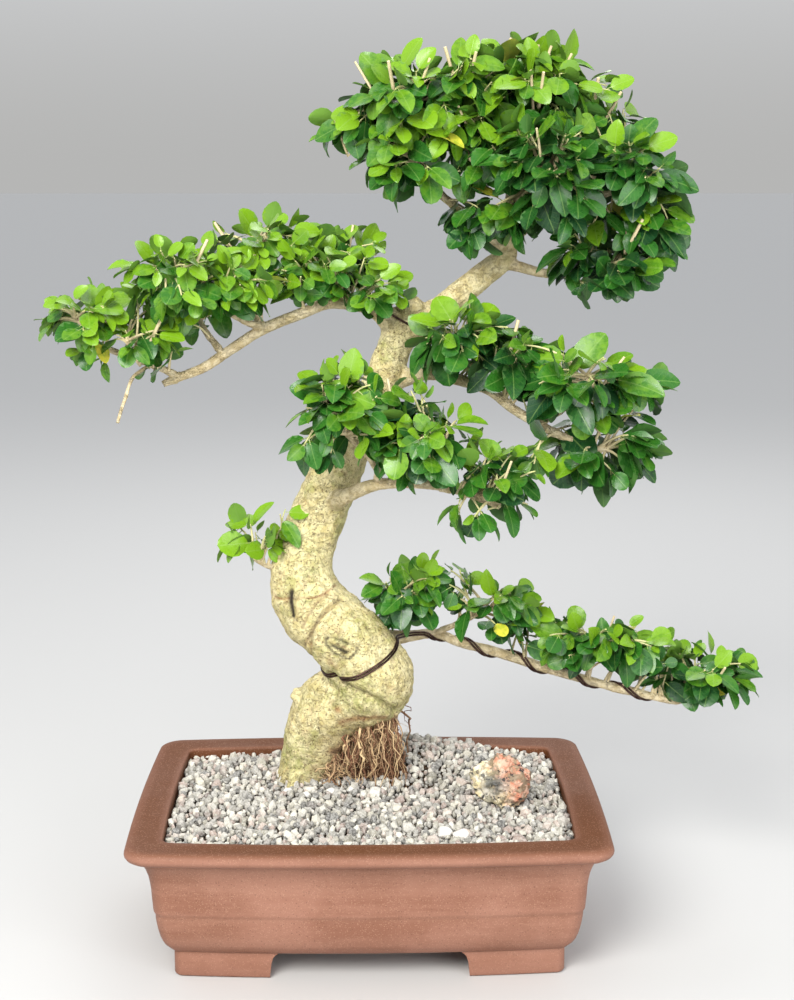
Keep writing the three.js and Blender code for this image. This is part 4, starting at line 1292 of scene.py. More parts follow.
@dataclass
class Stone:
    """One stone of its own shape."""

    name: str
    middle: tuple[float, float, float]
    size: tuple[float, float, float]
    form: StoneForm
    seed: int

    def corners(self, detail: int) -> tuple[Points, list]:
        """Corners and faces of the stone."""
        points, faces = ball(detail)
        rng = np.random.default_rng(self.seed)
        craggy = self.form is StoneForm.CRAGGY
        cuts = unit(rng.normal(size=(16 if craggy else 6, 3)))
        for cut in cuts:
            points = chop(points, cut, rng.uniform(0.58 if craggy else 0.66, 0.9), 0.9)
        if craggy:
            way = unit(points)
            rough = relief(points, 0.55, 5, self.seed)
            places = [Vector(p * 2.1 + self.seed) for p in points]
            crag = np.array([noise.ridged_multi_fractal(p, 0.9, 2.2, 5, 1.0, 2.0) for p in places])
            points = points + way * (0.12 * rough + 0.15 * (crag - 1.2))[:, None]
        else:
            points = points + unit(points) * (0.05 * relief(points, 0.7, 3, self.seed))[:, None]
        return points * np.array(self.size) + np.array(self.middle), faces

    def build(self, material: bpy.types.Material, slot: str, detail: int, node: str) -> bpy.types.Object:
        """Makes and dresses the stone."""
        points, faces = self.corners(detail)
        piece = mesh_object(self.name, points, faces)
        share = (points - np.array(self.middle)) / np.array(self.size)
        rng = np.random.default_rng(self.seed)
        red_side, shade_patch_middle = np.array([0.9, 0.1, 0.45]), np.array([-0.25, -0.75, 0.15])
        store(
            piece,
            tone=np.full(len(points), rng.uniform(0.35, 0.75)),
            hue=np.full(len(points), rng.uniform(0.2, 0.9)),
            reds=np.clip(share @ red_side * 1.6 + 0.35 + 0.5 * relief(points, 12.0, 3), 0, 1),
            # hollow: painted shade of a hollow, on the front left of the stone
            hollow=np.clip(1.3 - np.linalg.norm(share - shade_patch_middle, axis=1) * 2.1, 0, 1),
        )
        dress(piece, material)
        return finish_piece(piece, slot, node)


# ---------------------------------------------------------------- wood


@dataclass(frozen=True)
class Mark:
    """A line on the bark: a groove where depth is positive, a ridge where it is negative. Its scar share darkens the
    line's middle: a scar's own dark colour, and painted shade in the grooves of creases and wrinkles.
    """

    line: tuple[tuple[float, float, float], ...]
    width: float
    depth: float
    scar: float = 0.0
    stain: float = 0.0
    rust: float = 0.0


MARKS = [
    # the crease under the upper fold, from the notch at the left to the underside at the right, its dark lines painted
    # shade
    Mark(((-43, 24, 213), (-32, 11, 206), (-22, 3, 201), (-12, -2, 197), (-2, -4, 193), (7, -2, 188), (15, 3, 181),
        (22, 12, 173)), 3.6, 4.6, 0.25, 0.75),
    Mark(((-36, 14, 209), (-24, 4, 202), (-13, -2, 197), (-2, -4, 193)), 1.3, 2.2, 0.8, 0.6),
    Mark(((-29, 9, 202), (-19, 2, 197), (-10, -2, 191), (-1, -3, 187)), 2.4, 0.9, 0.2, 0.8),
    Mark(((2, -4, 191), (1, -2, 183)), 1.3, 2.4, 0.95, 0.3),
    # the upright slit scar with its swollen ring
    Mark(((-63, 16, 275), (-64, 16, 269), (-63, 15, 262), (-62, 14, 255)), 4.3, 3.0, 1.0),
    Mark(((-63, 16, 279), (-67, 17, 272), (-68, 17, 264), (-67, 17, 255), (-62, 14, 250), (-57, 12, 256),
        (-57, 12, 265), (-59, 14, 273), (-63, 16, 279)), 1.9, -1.5, 0.0, 0.1, 0.25),
    # the eye-shaped scar
    Mark(((-35, 2, 234), (-35, 2, 239), (-32, 0, 241), (-26, -1, 240), (-20, -2, 238), (-15, -3, 236), (-9, -3, 233),
        (-11, -4, 229), (-16, -4, 224), (-22, -3, 226), (-29, 0, 228), (-35, 2, 234)), 2.1, 1.6, 0.8, 0.2),
    Mark(((-31, -1, 234), (-25, -2, 232), (-18, -3, 229)), 3.0, 2.6, 1.0),
    Mark(((-31, 0, 237), (-24, -2, 235), (-17, -3, 232)), 1.4, -0.9, 0.0, 0.0, 0.4),
    Mark(((-28, 0, 229), (-22, -3, 228), (-17, -4, 226)), 1.3, -0.7),
    # wrinkles where the left section meets the upper fold, their grooves darkened with painted shade
    Mark(((-22, 19, 269), (-31, 10, 265), (-41, 6, 256), (-46, 6, 244), (-47, 10, 232), (-45, 19, 219)),
        1.8, 2.4, 0.35, 0.2, 0.3),
    Mark(((-26, 13, 265), (-36, 7, 259), (-44, 5, 249), (-49, 9, 238), (-53, 18, 227)), 1.6, 1.6, 0.45, 0.1, 0.5),
    Mark(((-32, 18, 273), (-42, 11, 267), (-50, 8, 256), (-54, 10, 246)), 1.6, 1.4, 0.35, 0.0, 0.4),
    Mark(((-27, 8, 261), (-34, 4, 253), (-38, 3, 246), (-40, 4, 237)), 1.5, 1.1, 0.2, 0.1),
    Mark(((-24, 10, 262), (-29, 5, 255), (-31, 3, 249)), 2.0, -1.0),
    # the thin reddish line round the trunk
    Mark(((-77, 29, 267), (-71, 21, 268), (-65, 16, 269), (-59, 13, 270), (-51, 12, 271), (-43, 13, 271),
        (-36, 16, 273), (-30, 22, 276), (-27, 29, 277)), 0.9, 0.9, 0.1, 0.0, 1.0),
    # small knots and dents
    Mark(((-62, 18, 242), (-61, 17, 241)), 3.2, -2.2), Mark(((-27, 1, 216), (-26, 1, 216)), 2.6, -1.4, 0.0, 0.0, 0.4),
    Mark(((-25, 12, 265), (-24, 12, 264)), 2.8, -1.8),
    Mark(((-26, 12, 177), (-25, 12, 177)), 2.8, -1.3, 0.0, 0.0, 0.9),
    Mark(((-57, 29, 163), (-56, 29, 163)), 2.6, -1.5), Mark(((-45, 25, 183), (-38, 20, 182)), 3.0, 1.0, 0.0, 0.3),
    Mark(((-42, 20, 160), (-39, 21, 150), (-40, 23, 144)), 1.0, 1.5, 0.8),
    Mark(((-51, 26, 172), (-47, 24, 176)), 2.2, 0.9, 0.2),
    Mark(((-12, -3, 216), (-10, -3, 215)), 1.6, -1.1),
    Mark(((8, 2, 228), (9, 3, 227)), 2.0, -1.2),
    Mark(((22, 20, 236), (24, 22, 235)), 3.4, -2.0, 0.0, 0.0, 0.4),
    Mark(((12, 14, 243), (14, 16, 242)), 2.8, -1.8, 0.0, 0.0, 0.3),
    # brown ragged hem of the raised side, and green tints
    Mark(((-30, 27, 136), (-18, 33, 140), (-5, 34, 147), (7, 24, 156), (15, 20, 162), (22, 20, 167)),
        3.8, -0.6, 0.55, 0.0, 1.0),
    Mark(((-22, 15, 166), (-10, 8, 171), (3, 5, 172), (13, 10, 170)), 3.4, 0.5, 0.0, 0.0, 0.75),
    Mark(((-72, 46, 137), (-69, 37, 131), (-58, 29, 126)), 5.0, 0.3, 0.0, 0.9),
    Mark(((-7, 6, 250), (5, 11, 245), (14, 18, 241)), 3.5, 0.3, 0.0, 0.6),
    Mark(((-22, 6, 194), (-12, 1, 188), (-5, 0, 183)), 4.0, 0.4, 0.0, 0.8),
    Mark(((-40, 24, 330), (-44, 26, 318)), 1.0, 1.4, 0.8),
    Mark(((-48, 28, 300), (-46, 24, 306)), 4.0, 0.6, 0.0, 0.5),
]


@dataclass
class Wood:
    """Trunk, limbs and branches."""

    voxel: float = 1.5
    slim_radius: float = 3.3

    def skeleton(self) -> list[Points]:
        """Every branch as rows of x, y, z, radius."""
        return [smooth_line(line, 3.0) for line in LIMBS.values()]

    def solid(self) -> bpy.types.Object:
        """The trunk and its thick limbs, fused."""
        parts = []
        for row in smooth_line(TRUNK_LINE, 5.0):
            points, faces = ball(3, float(row[3]))
            parts.append((points + row[:3], faces))
        for line in [*LIMBS.values(), *BASE_GROWTHS.values()]:
            path = smooth_line(line, 3.0)
            if line[0][3] >= 4:
                thick = path[path[:, 3] >= self.slim_radius - 0.4]
                parts.append(sweep(thick if len(thick) > 3 else path, 14))
        piece = mesh_object("trunk_and_limbs", *gather(parts))
        fuse = piece.modifiers.new("fuse", "REMESH")
        fuse.mode, fuse.voxel_size, fuse.use_smooth_shade = "VOXEL", self.voxel * MM, True
        plain_mesh(piece)
        soften = piece.modifiers.new("soften", "SMOOTH")
        soften.factor, soften.iterations = 0.5, 6
        return plain_mesh(piece)

    def carve(self, piece: bpy.types.Object) -> None:
        """Adds folds, scars, knobs and a rough surface to the fused wood."""
        mesh = piece.data
        count = len(mesh.vertices)
        flat = np.empty(count * 3)
        mesh.vertices.foreach_get("co", flat)
        points = (flat.reshape(-1, 3) - POT_MIDDLE) / MM
        mesh.vertex_normals.foreach_get("vector", flat)
        normals = flat.reshape(-1, 3).copy()
        trunk = smooth_line(TRUNK_LINE, 5.0)
        near_trunk = np.clip(1 - (distance_to_line(points, trunk[:, :3]) - 30) / 14, 0, 1)
        thick = self.thickness(points)
        size = np.clip((thick - 3) / 14, 0, 1)
        push = 1.7 * size * relief(points, 24.0, 3) + 0.6 * np.clip(size + 0.25, 0, 1) * relief(points, 6.5, 4, 7.0)
        flutes = np.array([noise.noise(Vector((p[0] / 11, p[1] / 11, p[2] / 60))) for p in points])
        push += 1.1 * size * near_trunk * flutes
        pits = relief(points, 3.0, 2, 31.0)
        push -= 0.9 * size * np.clip(pits - 0.35, 0, 1)
        scar, stain, rust = np.zeros(count), np.zeros(count), np.zeros(count)
        for mark in MARKS:
            away = distance_to_line(points, np.array(mark.line, float))
            shape = np.exp(-((away / mark.width) ** 2))
            push -= mark.depth * shape
            # a mark's dark middle: a scar's own colour, and painted shade in crease and wrinkle grooves
            scar = np.maximum(scar, mark.scar * np.exp(-((away / (mark.width * 0.55)) ** 4)))
            stain = np.maximum(stain, mark.stain * np.exp(-((away / (mark.width * 3.2)) ** 2)))
            rust = np.maximum(rust, mark.rust * np.exp(-((away / (mark.width * 1.1)) ** 2)))
        points = points + normals * push[:, None]
        mesh.vertices.foreach_set("co", in_frame(points).ravel())
        # earth: darker bark near the gravel, and painted shade on the downward-facing wood of the lower trunk (under)
        low = np.clip((GRAVEL_LEVEL + 9 - points[:, 2] + 4 * relief(points, 9.0, 2)) / 14, 0, 1)
        under = np.clip(-normals[:, 2] * 1.6, 0, 1) * np.clip((GRAVEL_LEVEL + 62 - points[:, 2]) / 20, 0, 1)
        slim = 1 - np.clip((thick - 4) / 10, 0, 1)
        store(piece, scar=scar, stain=stain, rust=rust, slim=slim, earth=np.maximum(low, 0.8 * under))

    def thickness(self, points: Points) -> Points:
        """Radius of the branch that each point lies on."""
        best, radius = np.full(len(points), 1e9), np.zeros(len(points))
        for line in [smooth_line(TRUNK_LINE, 8.0), *(smooth_line(line, 8.0) for line in LIMBS.values())]:
            for a, b in zip(line[:-1], line[1:]):
                along = b[:3] - a[:3]
                t = np.clip((points - a[:3]) @ along / max(along @ along, 1e-9), 0, 1)
                r = a[3] + t * (b[3] - a[3])
                away = np.linalg.norm(points - (a[:3] + t[:, None] * along), axis=1) - r
                closer = away < best
                best[closer], radius[closer] = away[closer], r[closer]
        return radius

    def slim_branches(self) -> bpy.types.Object:
        """Branches too thin to be fused, as knobbly tubes."""
        parts = []
        for number, line in enumerate(LIMBS.values()):
            path = smooth_line(line, 1.6)
            if line[0][3] >= 4:
                thin = path[path[:, 3] < self.slim_radius + 0.5]
                path = thin if len(thin) > 3 else None
            if path is not None:
                along = np.arange(len(path)) * 1.6
                path[:, 3] *= 1 + 0.13 * np.exp(-(((along % 13.0) - 6.5) ** 2) / 2.4)
                wander = np.array(
                    [[noise.noise(Vector((s / 17, number * 7.0, k * 5.0))) for k in range(3)] for s in along]
                )
                path[:, :3] += 0.9 * wander * np.clip(along / 12, 0, 1)[:, None]
                parts.append(sweep(path, 10, 0.22, number))
        piece = mesh_object("slim_branches", *gather(parts))
        none = np.zeros(len(piece.data.vertices))
        store(piece, slim=none + 1, stain=none, scar=none, rust=none, earth=none)
        return piece

    def build(self, bark: bpy.types.Material) -> bpy.types.Object:
        """Makes and dresses all the wood."""
        trunk = self.solid()
        self.carve(trunk)
        slim = self.slim_branches()
        for piece in (trunk, slim):
            dress(piece, bark)
        finish_piece(trunk, "bark", "trunk_and_branches")
        finish_piece(slim, "bark")
        return trunk


@dataclass
class FibrousRoots:
    """Matted thin roots that hang from the trunk's raised side into the grit."""

    low: float = 20
    high: float = 86
    count: int = 560
    seed: int = 3

    def strand(self, row: Points, rng: np.random.Generator) -> Points:
        """One curly root from the wood's underside into the grit.

        Args:
            row: a place on the trunk's middle line, with its radius.
            rng: source of chance.

        Returns:
            Rows of x, y, z, radius.
        """
        turn = rng.uniform(-1.3, 0.95)
        away = math.cos(turn) * np.array([0.8, 0, -0.6]) + math.sin(turn) * np.array([0, -1.0, 0])
        start = row[:3] + row[3] * 0.95 * away
        x = float(np.clip(start[0] + rng.uniform(-10, 16), -36, 40))
        y = float(np.clip(start[1] + rng.normal(scale=8), 15, 74))
        foot = np.array([x, y, GRAVEL_LEVEL + rng.uniform(-3, 4)])
        short = rng.uniform() < 0.5
        if short:
            foot = start + (foot - start) * rng.uniform(0.35, 0.7) + rng.normal(scale=5, size=3)
            foot[2] = max(foot[2], GRAVEL_LEVEL + 2)
        t = np.linspace(0, 1, 12)[:, None]
        path = start + (foot - start) * t + np.sin(math.pi * t) * rng.uniform(-1, 7) * away * np.array([1.0, 1.0, 0.3])
        wave = np.cumsum(rng.normal(scale=3.2 if short else 2.5, size=(12, 3)), axis=0)
        wave = wave - wave[0] - (wave[-1] - wave[0]) * t
        radius = (rng.uniform(0.9, 1.5) if rng.uniform() < 0.07 else rng.uniform(0.22, 0.62)) * (1.1 - 0.6 * t)
        path = path + wave
        path[:, 0] = np.minimum(path[:, 0], 35)
        return np.column_stack([path, radius])

    def build(self, workshop: Workshop, fibres: bpy.types.Material, earth: bpy.types.Material) -> None:
        """Grows the roots and the clod that they hold."""
        rng = np.random.default_rng(self.seed)
        trunk = smooth_line(TRUNK_LINE, 2.0)
        raised = trunk[(trunk[:, 2] > GRAVEL_LEVEL + self.low) & (trunk[:, 2] < GRAVEL_LEVEL + self.high)]
        lines = [self.strand(raised[rng.integers(len(raised))], rng) for _ in range(self.count)]
        youth = [np.full(len(line), rng.uniform(0, 1) ** 1.5) for line in lines]
        piece = lines_object("fibrous_roots", lines, youth)
        workshop.run(Tool.LINES_TO_TUBES, piece, Sides=5, Material=fibres)
        finish_piece(piece, "fine_roots")
        clod = Stone("root_clod", (4, 47, GRAVEL_LEVEL + 14), (30, 23, 36), StoneForm.CRAGGY, 8)
        clod.build(earth, "fine_roots", 5, "root_clump")


@dataclass
class Wires:
    """Two training wires side by side round the trunk and along the low branch, and a tie at the fork."""

    wood: bpy.types.Object
    radius: float = 0.88
    apart: float = 2.4
    turn: float = 44

    def __post_init__(self) -> None:
        """Prepares the bark for measuring."""
        self.bark = BVHTree.FromObject(self.wood, bpy.context.evaluated_depsgraph_get())

    def seat(self, centre: Points, way: Points, clearance: float) -> Points:
        """Point outside the bark, straight away from centre along way."""
        origin = Vector(in_frame(centre))
        direction = Vector(way).normalized()
        far = origin + direction * 0.12
        hit, _, _, _ = self.bark.ray_cast(far, -direction)
        place = (hit if hit is not None else origin) + direction * clearance * MM
        return (np.array(place) - POT_MIDDLE) / MM

    def path(self) -> tuple[Points, Points]:
        """Middle line of the pair and its outward directions."""
        places, ways = [], []
        across = unit(np.array([0.88, 0.1, 0.42]))
        front = unit(np.array([0, -1, -0.25]))
        fold = np.array([-8, 30, 116 + GRAVEL_LEVEL])
        for degrees in range(195, -1, -5):
            a = math.radians(degrees)
            way = across * math.cos(a) + front * math.sin(a)
            places.append(self.seat(fold, way, self.radius))
            ways.append(way)
        limb = smooth_line(LIMBS["lowLimb"][1:], 1.0)
        tangents = unit(np.gradient(limb[:, :3], axis=0))
        for s in range(14, len(limb) - 34, 2):
            up = unit(np.array([0, 0, 1.0]) - tangents[s] * tangents[s][2])
            sideways = np.cross(tangents[s], up)
            a = 2 * math.pi * (s - 14) / self.turn + 0.9
            way = up * math.cos(a) + sideways * math.sin(a)
            places.append(limb[s, :3] + way * (limb[s, 3] + self.radius + 0.2))
            ways.append(way)
        return np.array(places), np.array(ways)

    def build(self, workshop: Workshop, finish: bpy.types.Material) -> None:
        """Winds the wires."""
        places, ways = self.path()
        beside = unit(np.cross(np.gradient(places, axis=0), ways))
        for side, name in ((-1, "branch_wire_upper"), (1, "branch_wire_lower")):
            strand = places + beside * side * self.apart / 2
            for _ in range(2):
                strand[1:-1] = 0.25 * strand[:-2] + 0.5 * strand[1:-1] + 0.25 * strand[2:]
            self.tube(workshop, finish, f"{name}_strand", strand, name)
        centre = np.array([27, 50, 388 + GRAVEL_LEVEL])
        ring = []
        for degrees in range(150, 460, 10):
            a = math.radians(degrees)
            way = np.array([math.cos(a) * 0.86, math.sin(a), -0.5 * math.cos(a)])
            ring.append(self.seat(centre, way, self.radius * 0.9))
        self.tube(workshop, finish, "fork_tie", np.array(ring), "fork_tie_wire")

    def tube(self, workshop: Workshop, finish: bpy.types.Material, name: str, path: Points, node: str) -> None:
        """One round wire along a path."""
        line = np.column_stack([path, np.full(len(path), self.radius)])
        piece = lines_object(name, [line])
        workshop.run(Tool.LINES_TO_TUBES, piece, Sides=10, Material=finish)
        finish_piece(piece, "training_wire", node)


# ---------------------------------------------------------------- foliage


TWIG_STEP = 3.0  # between the points of a twig
BARE_FOOT = 9  # length at a twig's foot that has no leaves


class LeafForm(Enum):
    """Outline of a leaf: length, widest half-width, where it is widest, point, fold and droop."""

    OVATE = (28.0, 9.8, 0.45, 0.58, 0.16, 0.30)
    ROUND = (22.5, 9.4, 0.50, 0.46, 0.10, 0.16)
    BROAD = (26.0, 10.4, 0.52, 0.48, 0.14, 0.26)
    LONG = (33.0, 8.8, 0.46, 0.66, 0.26, 0.46)
    YOUNG = (19.0, 6.2, 0.46, 0.65, 0.32, 0.12)
    CURLED = (27.0, 9.4, 0.47, 0.58, 0.34, 0.62)


YOUNG_KIND = 4  # the young form's number among the forms
GROWN_KINDS = [0, 1, 2, 3, 5]
GROWN_SHARES = [0.28, 0.24, 0.22, 0.12, 0.14]


@dataclass
class Pad:
    """A leafy mass of the tree: the space that it fills and the nodes that it stands for."""

    name: str
    blobs: list[tuple[str, tuple[float, float, float], tuple[float, float, float], int]]
    freshness: float
    seed: int
    stubs: float = 0.035
    reach: int = 60
    leaf_scale: float = 1.0


PADS = [
    Pad("leaves_left", [
        ("left_pad_tip", (-220, 4, 390), (34, 42, 28), 17), ("left_pad_lower", (-178, -2, 374), (36, 42, 24), 15),
        ("left_pad_front", (-146, -12, 424), (44, 42, 32), 18), ("left_pad_top", (-82, 50, 440), (56, 50, 32), 24),
        ("left_pad_back", (-146, 66, 404), (50, 42, 36), 17), ("left_pad_inner", (-22, 60, 430), (52, 50, 30), 18),
        ("", (-106, -2, 420), (40, 26, 26), 14), ("", (-160, 8, 400), (40, 30, 24), 12), ("", (-40, 20, 426),
            (40, 28, 20), 14),
        ("", (4, 32, 412), (32, 26, 18), 10), ("", (-193, 4, 368), (28, 24, 16), 8),
    ], 0.70, 1, leaf_scale=0.95),
    Pad("leaves_crown_upper", [
        ("crown_top", (116, 58, 570), (70, 60, 34), 34), ("crown_shoulder", (28, 24, 560), (54, 44, 32), 24),
        ("crown_left", (34, 28, 520), (50, 48, 40), 24), ("crown_back", (140, 112, 520), (60, 40, 50), 20),
        ("", (-12, 24, 534), (34, 18, 14), 7), ("", (92, 18, 522), (44, 30, 34), 22), ("", (74, 26, 572),
            (40, 30, 26), 16),
        ("", (176, 56, 548), (40, 34, 30), 16), ("", (130, 20, 560), (44, 30, 28), 14),
    ], 0.58, 2, 0.14, leaf_scale=1.1),
    Pad("leaves_crown_lower", [
        ("crown_right", (202, 30, 500), (50, 52, 42), 26), ("crown_low", (190, 32, 440), (48, 48, 36), 22),
        ("crown_front", (138, -8, 504), (52, 42, 50), 32), ("", (90, 20, 470), (30, 26, 30), 10), ("", (132, 10, 462),
            (34, 28, 28), 13),
        ("", (222, 30, 458), (28, 28, 28), 10),
    ], 0.30, 3, leaf_scale=1.12),
    Pad("leaves_right", [
        ("right_pad_near", (76, 4, 374), (38, 34, 28), 18), ("right_pad_outer", (182, -18, 302), (46, 42, 38), 21),
        ("right_pad_rise", (160, -30, 350), (44, 38, 28), 17), ("", (106, -12, 366), (36, 28, 26), 15),
            ("", (196, -16, 336), (30, 26, 24), 10),
        ("", (140, -32, 332), (26, 20, 20), 8), ("", (54, 10, 376), (18, 18, 18), 5),
    ], 0.36, 4, leaf_scale=1.28),
    Pad("leaves_centre", [
        ("centre_pad_left", (-25, -30, 322), (40, 36, 36), 18), ("centre_pad_right", (94, -48, 268), (40, 34, 30),
            15),
        ("centre_pad_middle", (44, -44, 302), (42, 34, 28), 17), ("", (-14, -32, 340), (32, 22, 24), 12),
            ("", (22, -36, 326), (36, 24, 26), 15),
        ("", (18, -42, 298), (34, 22, 22), 12), ("", (78, -58, 254), (24, 14, 24), 6), ("", (104, -48, 284),
            (32, 24, 20), 9), ("", (-38, -28, 298), (22, 22, 20), 6),
    ], 0.46, 5, leaf_scale=1.14),
    Pad("leaves_low", [
        ("low_pad_inner", (32, 42, 168), (42, 36, 24), 16), ("low_pad_fork", (108, 44, 154), (42, 36, 22), 13),
        ("low_pad_middle", (184, 44, 124), (50, 38, 20), 19), ("low_pad_tip", (272, 42, 99), (50, 40, 20), 21),
        ("", (62, 46, 172), (26, 24, 20), 9), ("", (146, 44, 134), (34, 30, 17), 12),
        ("", (228, 42, 116), (36, 30, 16), 14), ("", (40, 30, 152), (20, 18, 14), 5), ("", (300, 42, 92),
            (24, 26, 16), 8),
    ], 0.46, 6, 0.03, leaf_scale=1.0),
    Pad("leaves_sprout", [
        ("trunk_sprout", (-92, 30, 213), (27, 16, 23), 12), ("", (-66, 30, 232), (10, 10, 14), 2),
    ], 1.0, 7, 0.0, 5, 1.08),
]


@dataclass
class LeafShapes:
    """The leaf patterns that the pads repeat."""

    rows: int = 7
    half_columns: int = 2
    thickness: float = 0.35

    def blade(self, form: LeafForm) -> bpy.types.Object:
        """One leaf, its stalk at the origin, growing along +X with its face up."""
        length, half_width, widest, point, fold, droop = form.value
        columns = 2 * self.half_columns + 1
        top, low, uv = [], [], []
        for row in range(self.rows + 1):
            t = 0.5 - 0.5 * math.cos(math.pi * row / self.rows)
            swell = math.sin(math.pi * t ** (math.log(0.5) / math.log(widest))) if 0 < row < self.rows else 0.0
            width = half_width * swell ** (0.62 if t < widest else point)
            for column in range(columns):
                u = column / self.half_columns - 1
                ripple = 0.5 * math.sin(7 * t + 2 * u) * abs(u)
                z = fold * width * abs(u) ** 1.2 - droop * length * 0.45 * t * t + ripple
                body = self.thickness * (1 - u * u)
                x = length * t * (1 - 0.12 * droop)
                top.append((x, u * width, z + body / 2))
                low.append((x, u * width, z - body / 2))
                uv.append((0.5 + 0.5 * u * max(width / half_width, 0.12), t))
        made = bmesh.new()
        layer = made.loops.layers.uv.new("blade")
        for points, shift, flip in ((top, 0.0, False), (low, 2.0, True)):
            corners = [made.verts.new(np.array(p) * MM) for p in points]
            for row in range(self.rows):
                for column in range(columns - 1):
                    a = row * columns + column
                    quad = [a, a + columns, a + columns + 1, a + 1]
                    face = made.faces.new([corners[i] for i in (reversed(quad) if flip else quad)])
                    for loop, i in zip(face.loops, reversed(quad) if flip else quad):
                        loop[layer].uv = (uv[i][0] + shift, uv[i][1])
        bmesh.ops.remove_doubles(made, verts=made.verts, dist=1e-6)
        bmesh.ops.dissolve_degenerate(made, edges=made.edges, dist=1e-7)
        self.stalk(made, layer)
        bmesh.ops.recalc_face_normals(made, faces=made.faces)
        mesh = bpy.data.meshes.new(f"leaf_{form.name.lower()}")
        made.to_mesh(mesh)
        made.free()
        mesh.shade_smooth()
        mesh.set_sharp_from_angle(angle=math.radians(75))
        return new_object(mesh.name, mesh)

    @staticmethod
    def stalk(made: bmesh.types.BMesh, layer: object) -> None:
        """Adds a short three-sided stalk behind the blade."""
        rings = []
        for x, radius in ((-4.0, 0.55), (2.5, 0.4)):
            places = [Vector((x, radius * math.cos(a), radius * math.sin(a))) for a in (0.5, 2.6, 4.7)]
            rings.append([made.verts.new(place * MM) for place in places])
        foot, top = rings
        faces = [made.faces.new([foot[i - 3], foot[i - 2], top[i - 2], top[i - 3]]) for i in range(3)]
        faces += [made.faces.new(foot), made.faces.new(list(reversed(top)))]
        for face in faces:
            for loop in face.loops:
                loop[layer].uv = (0.5, -0.5)

    def build(self) -> bpy.types.Collection:
        """All the leaf patterns."""
        return hidden_shapes("leaf_shapes", [self.blade(form) for form in LeafForm])


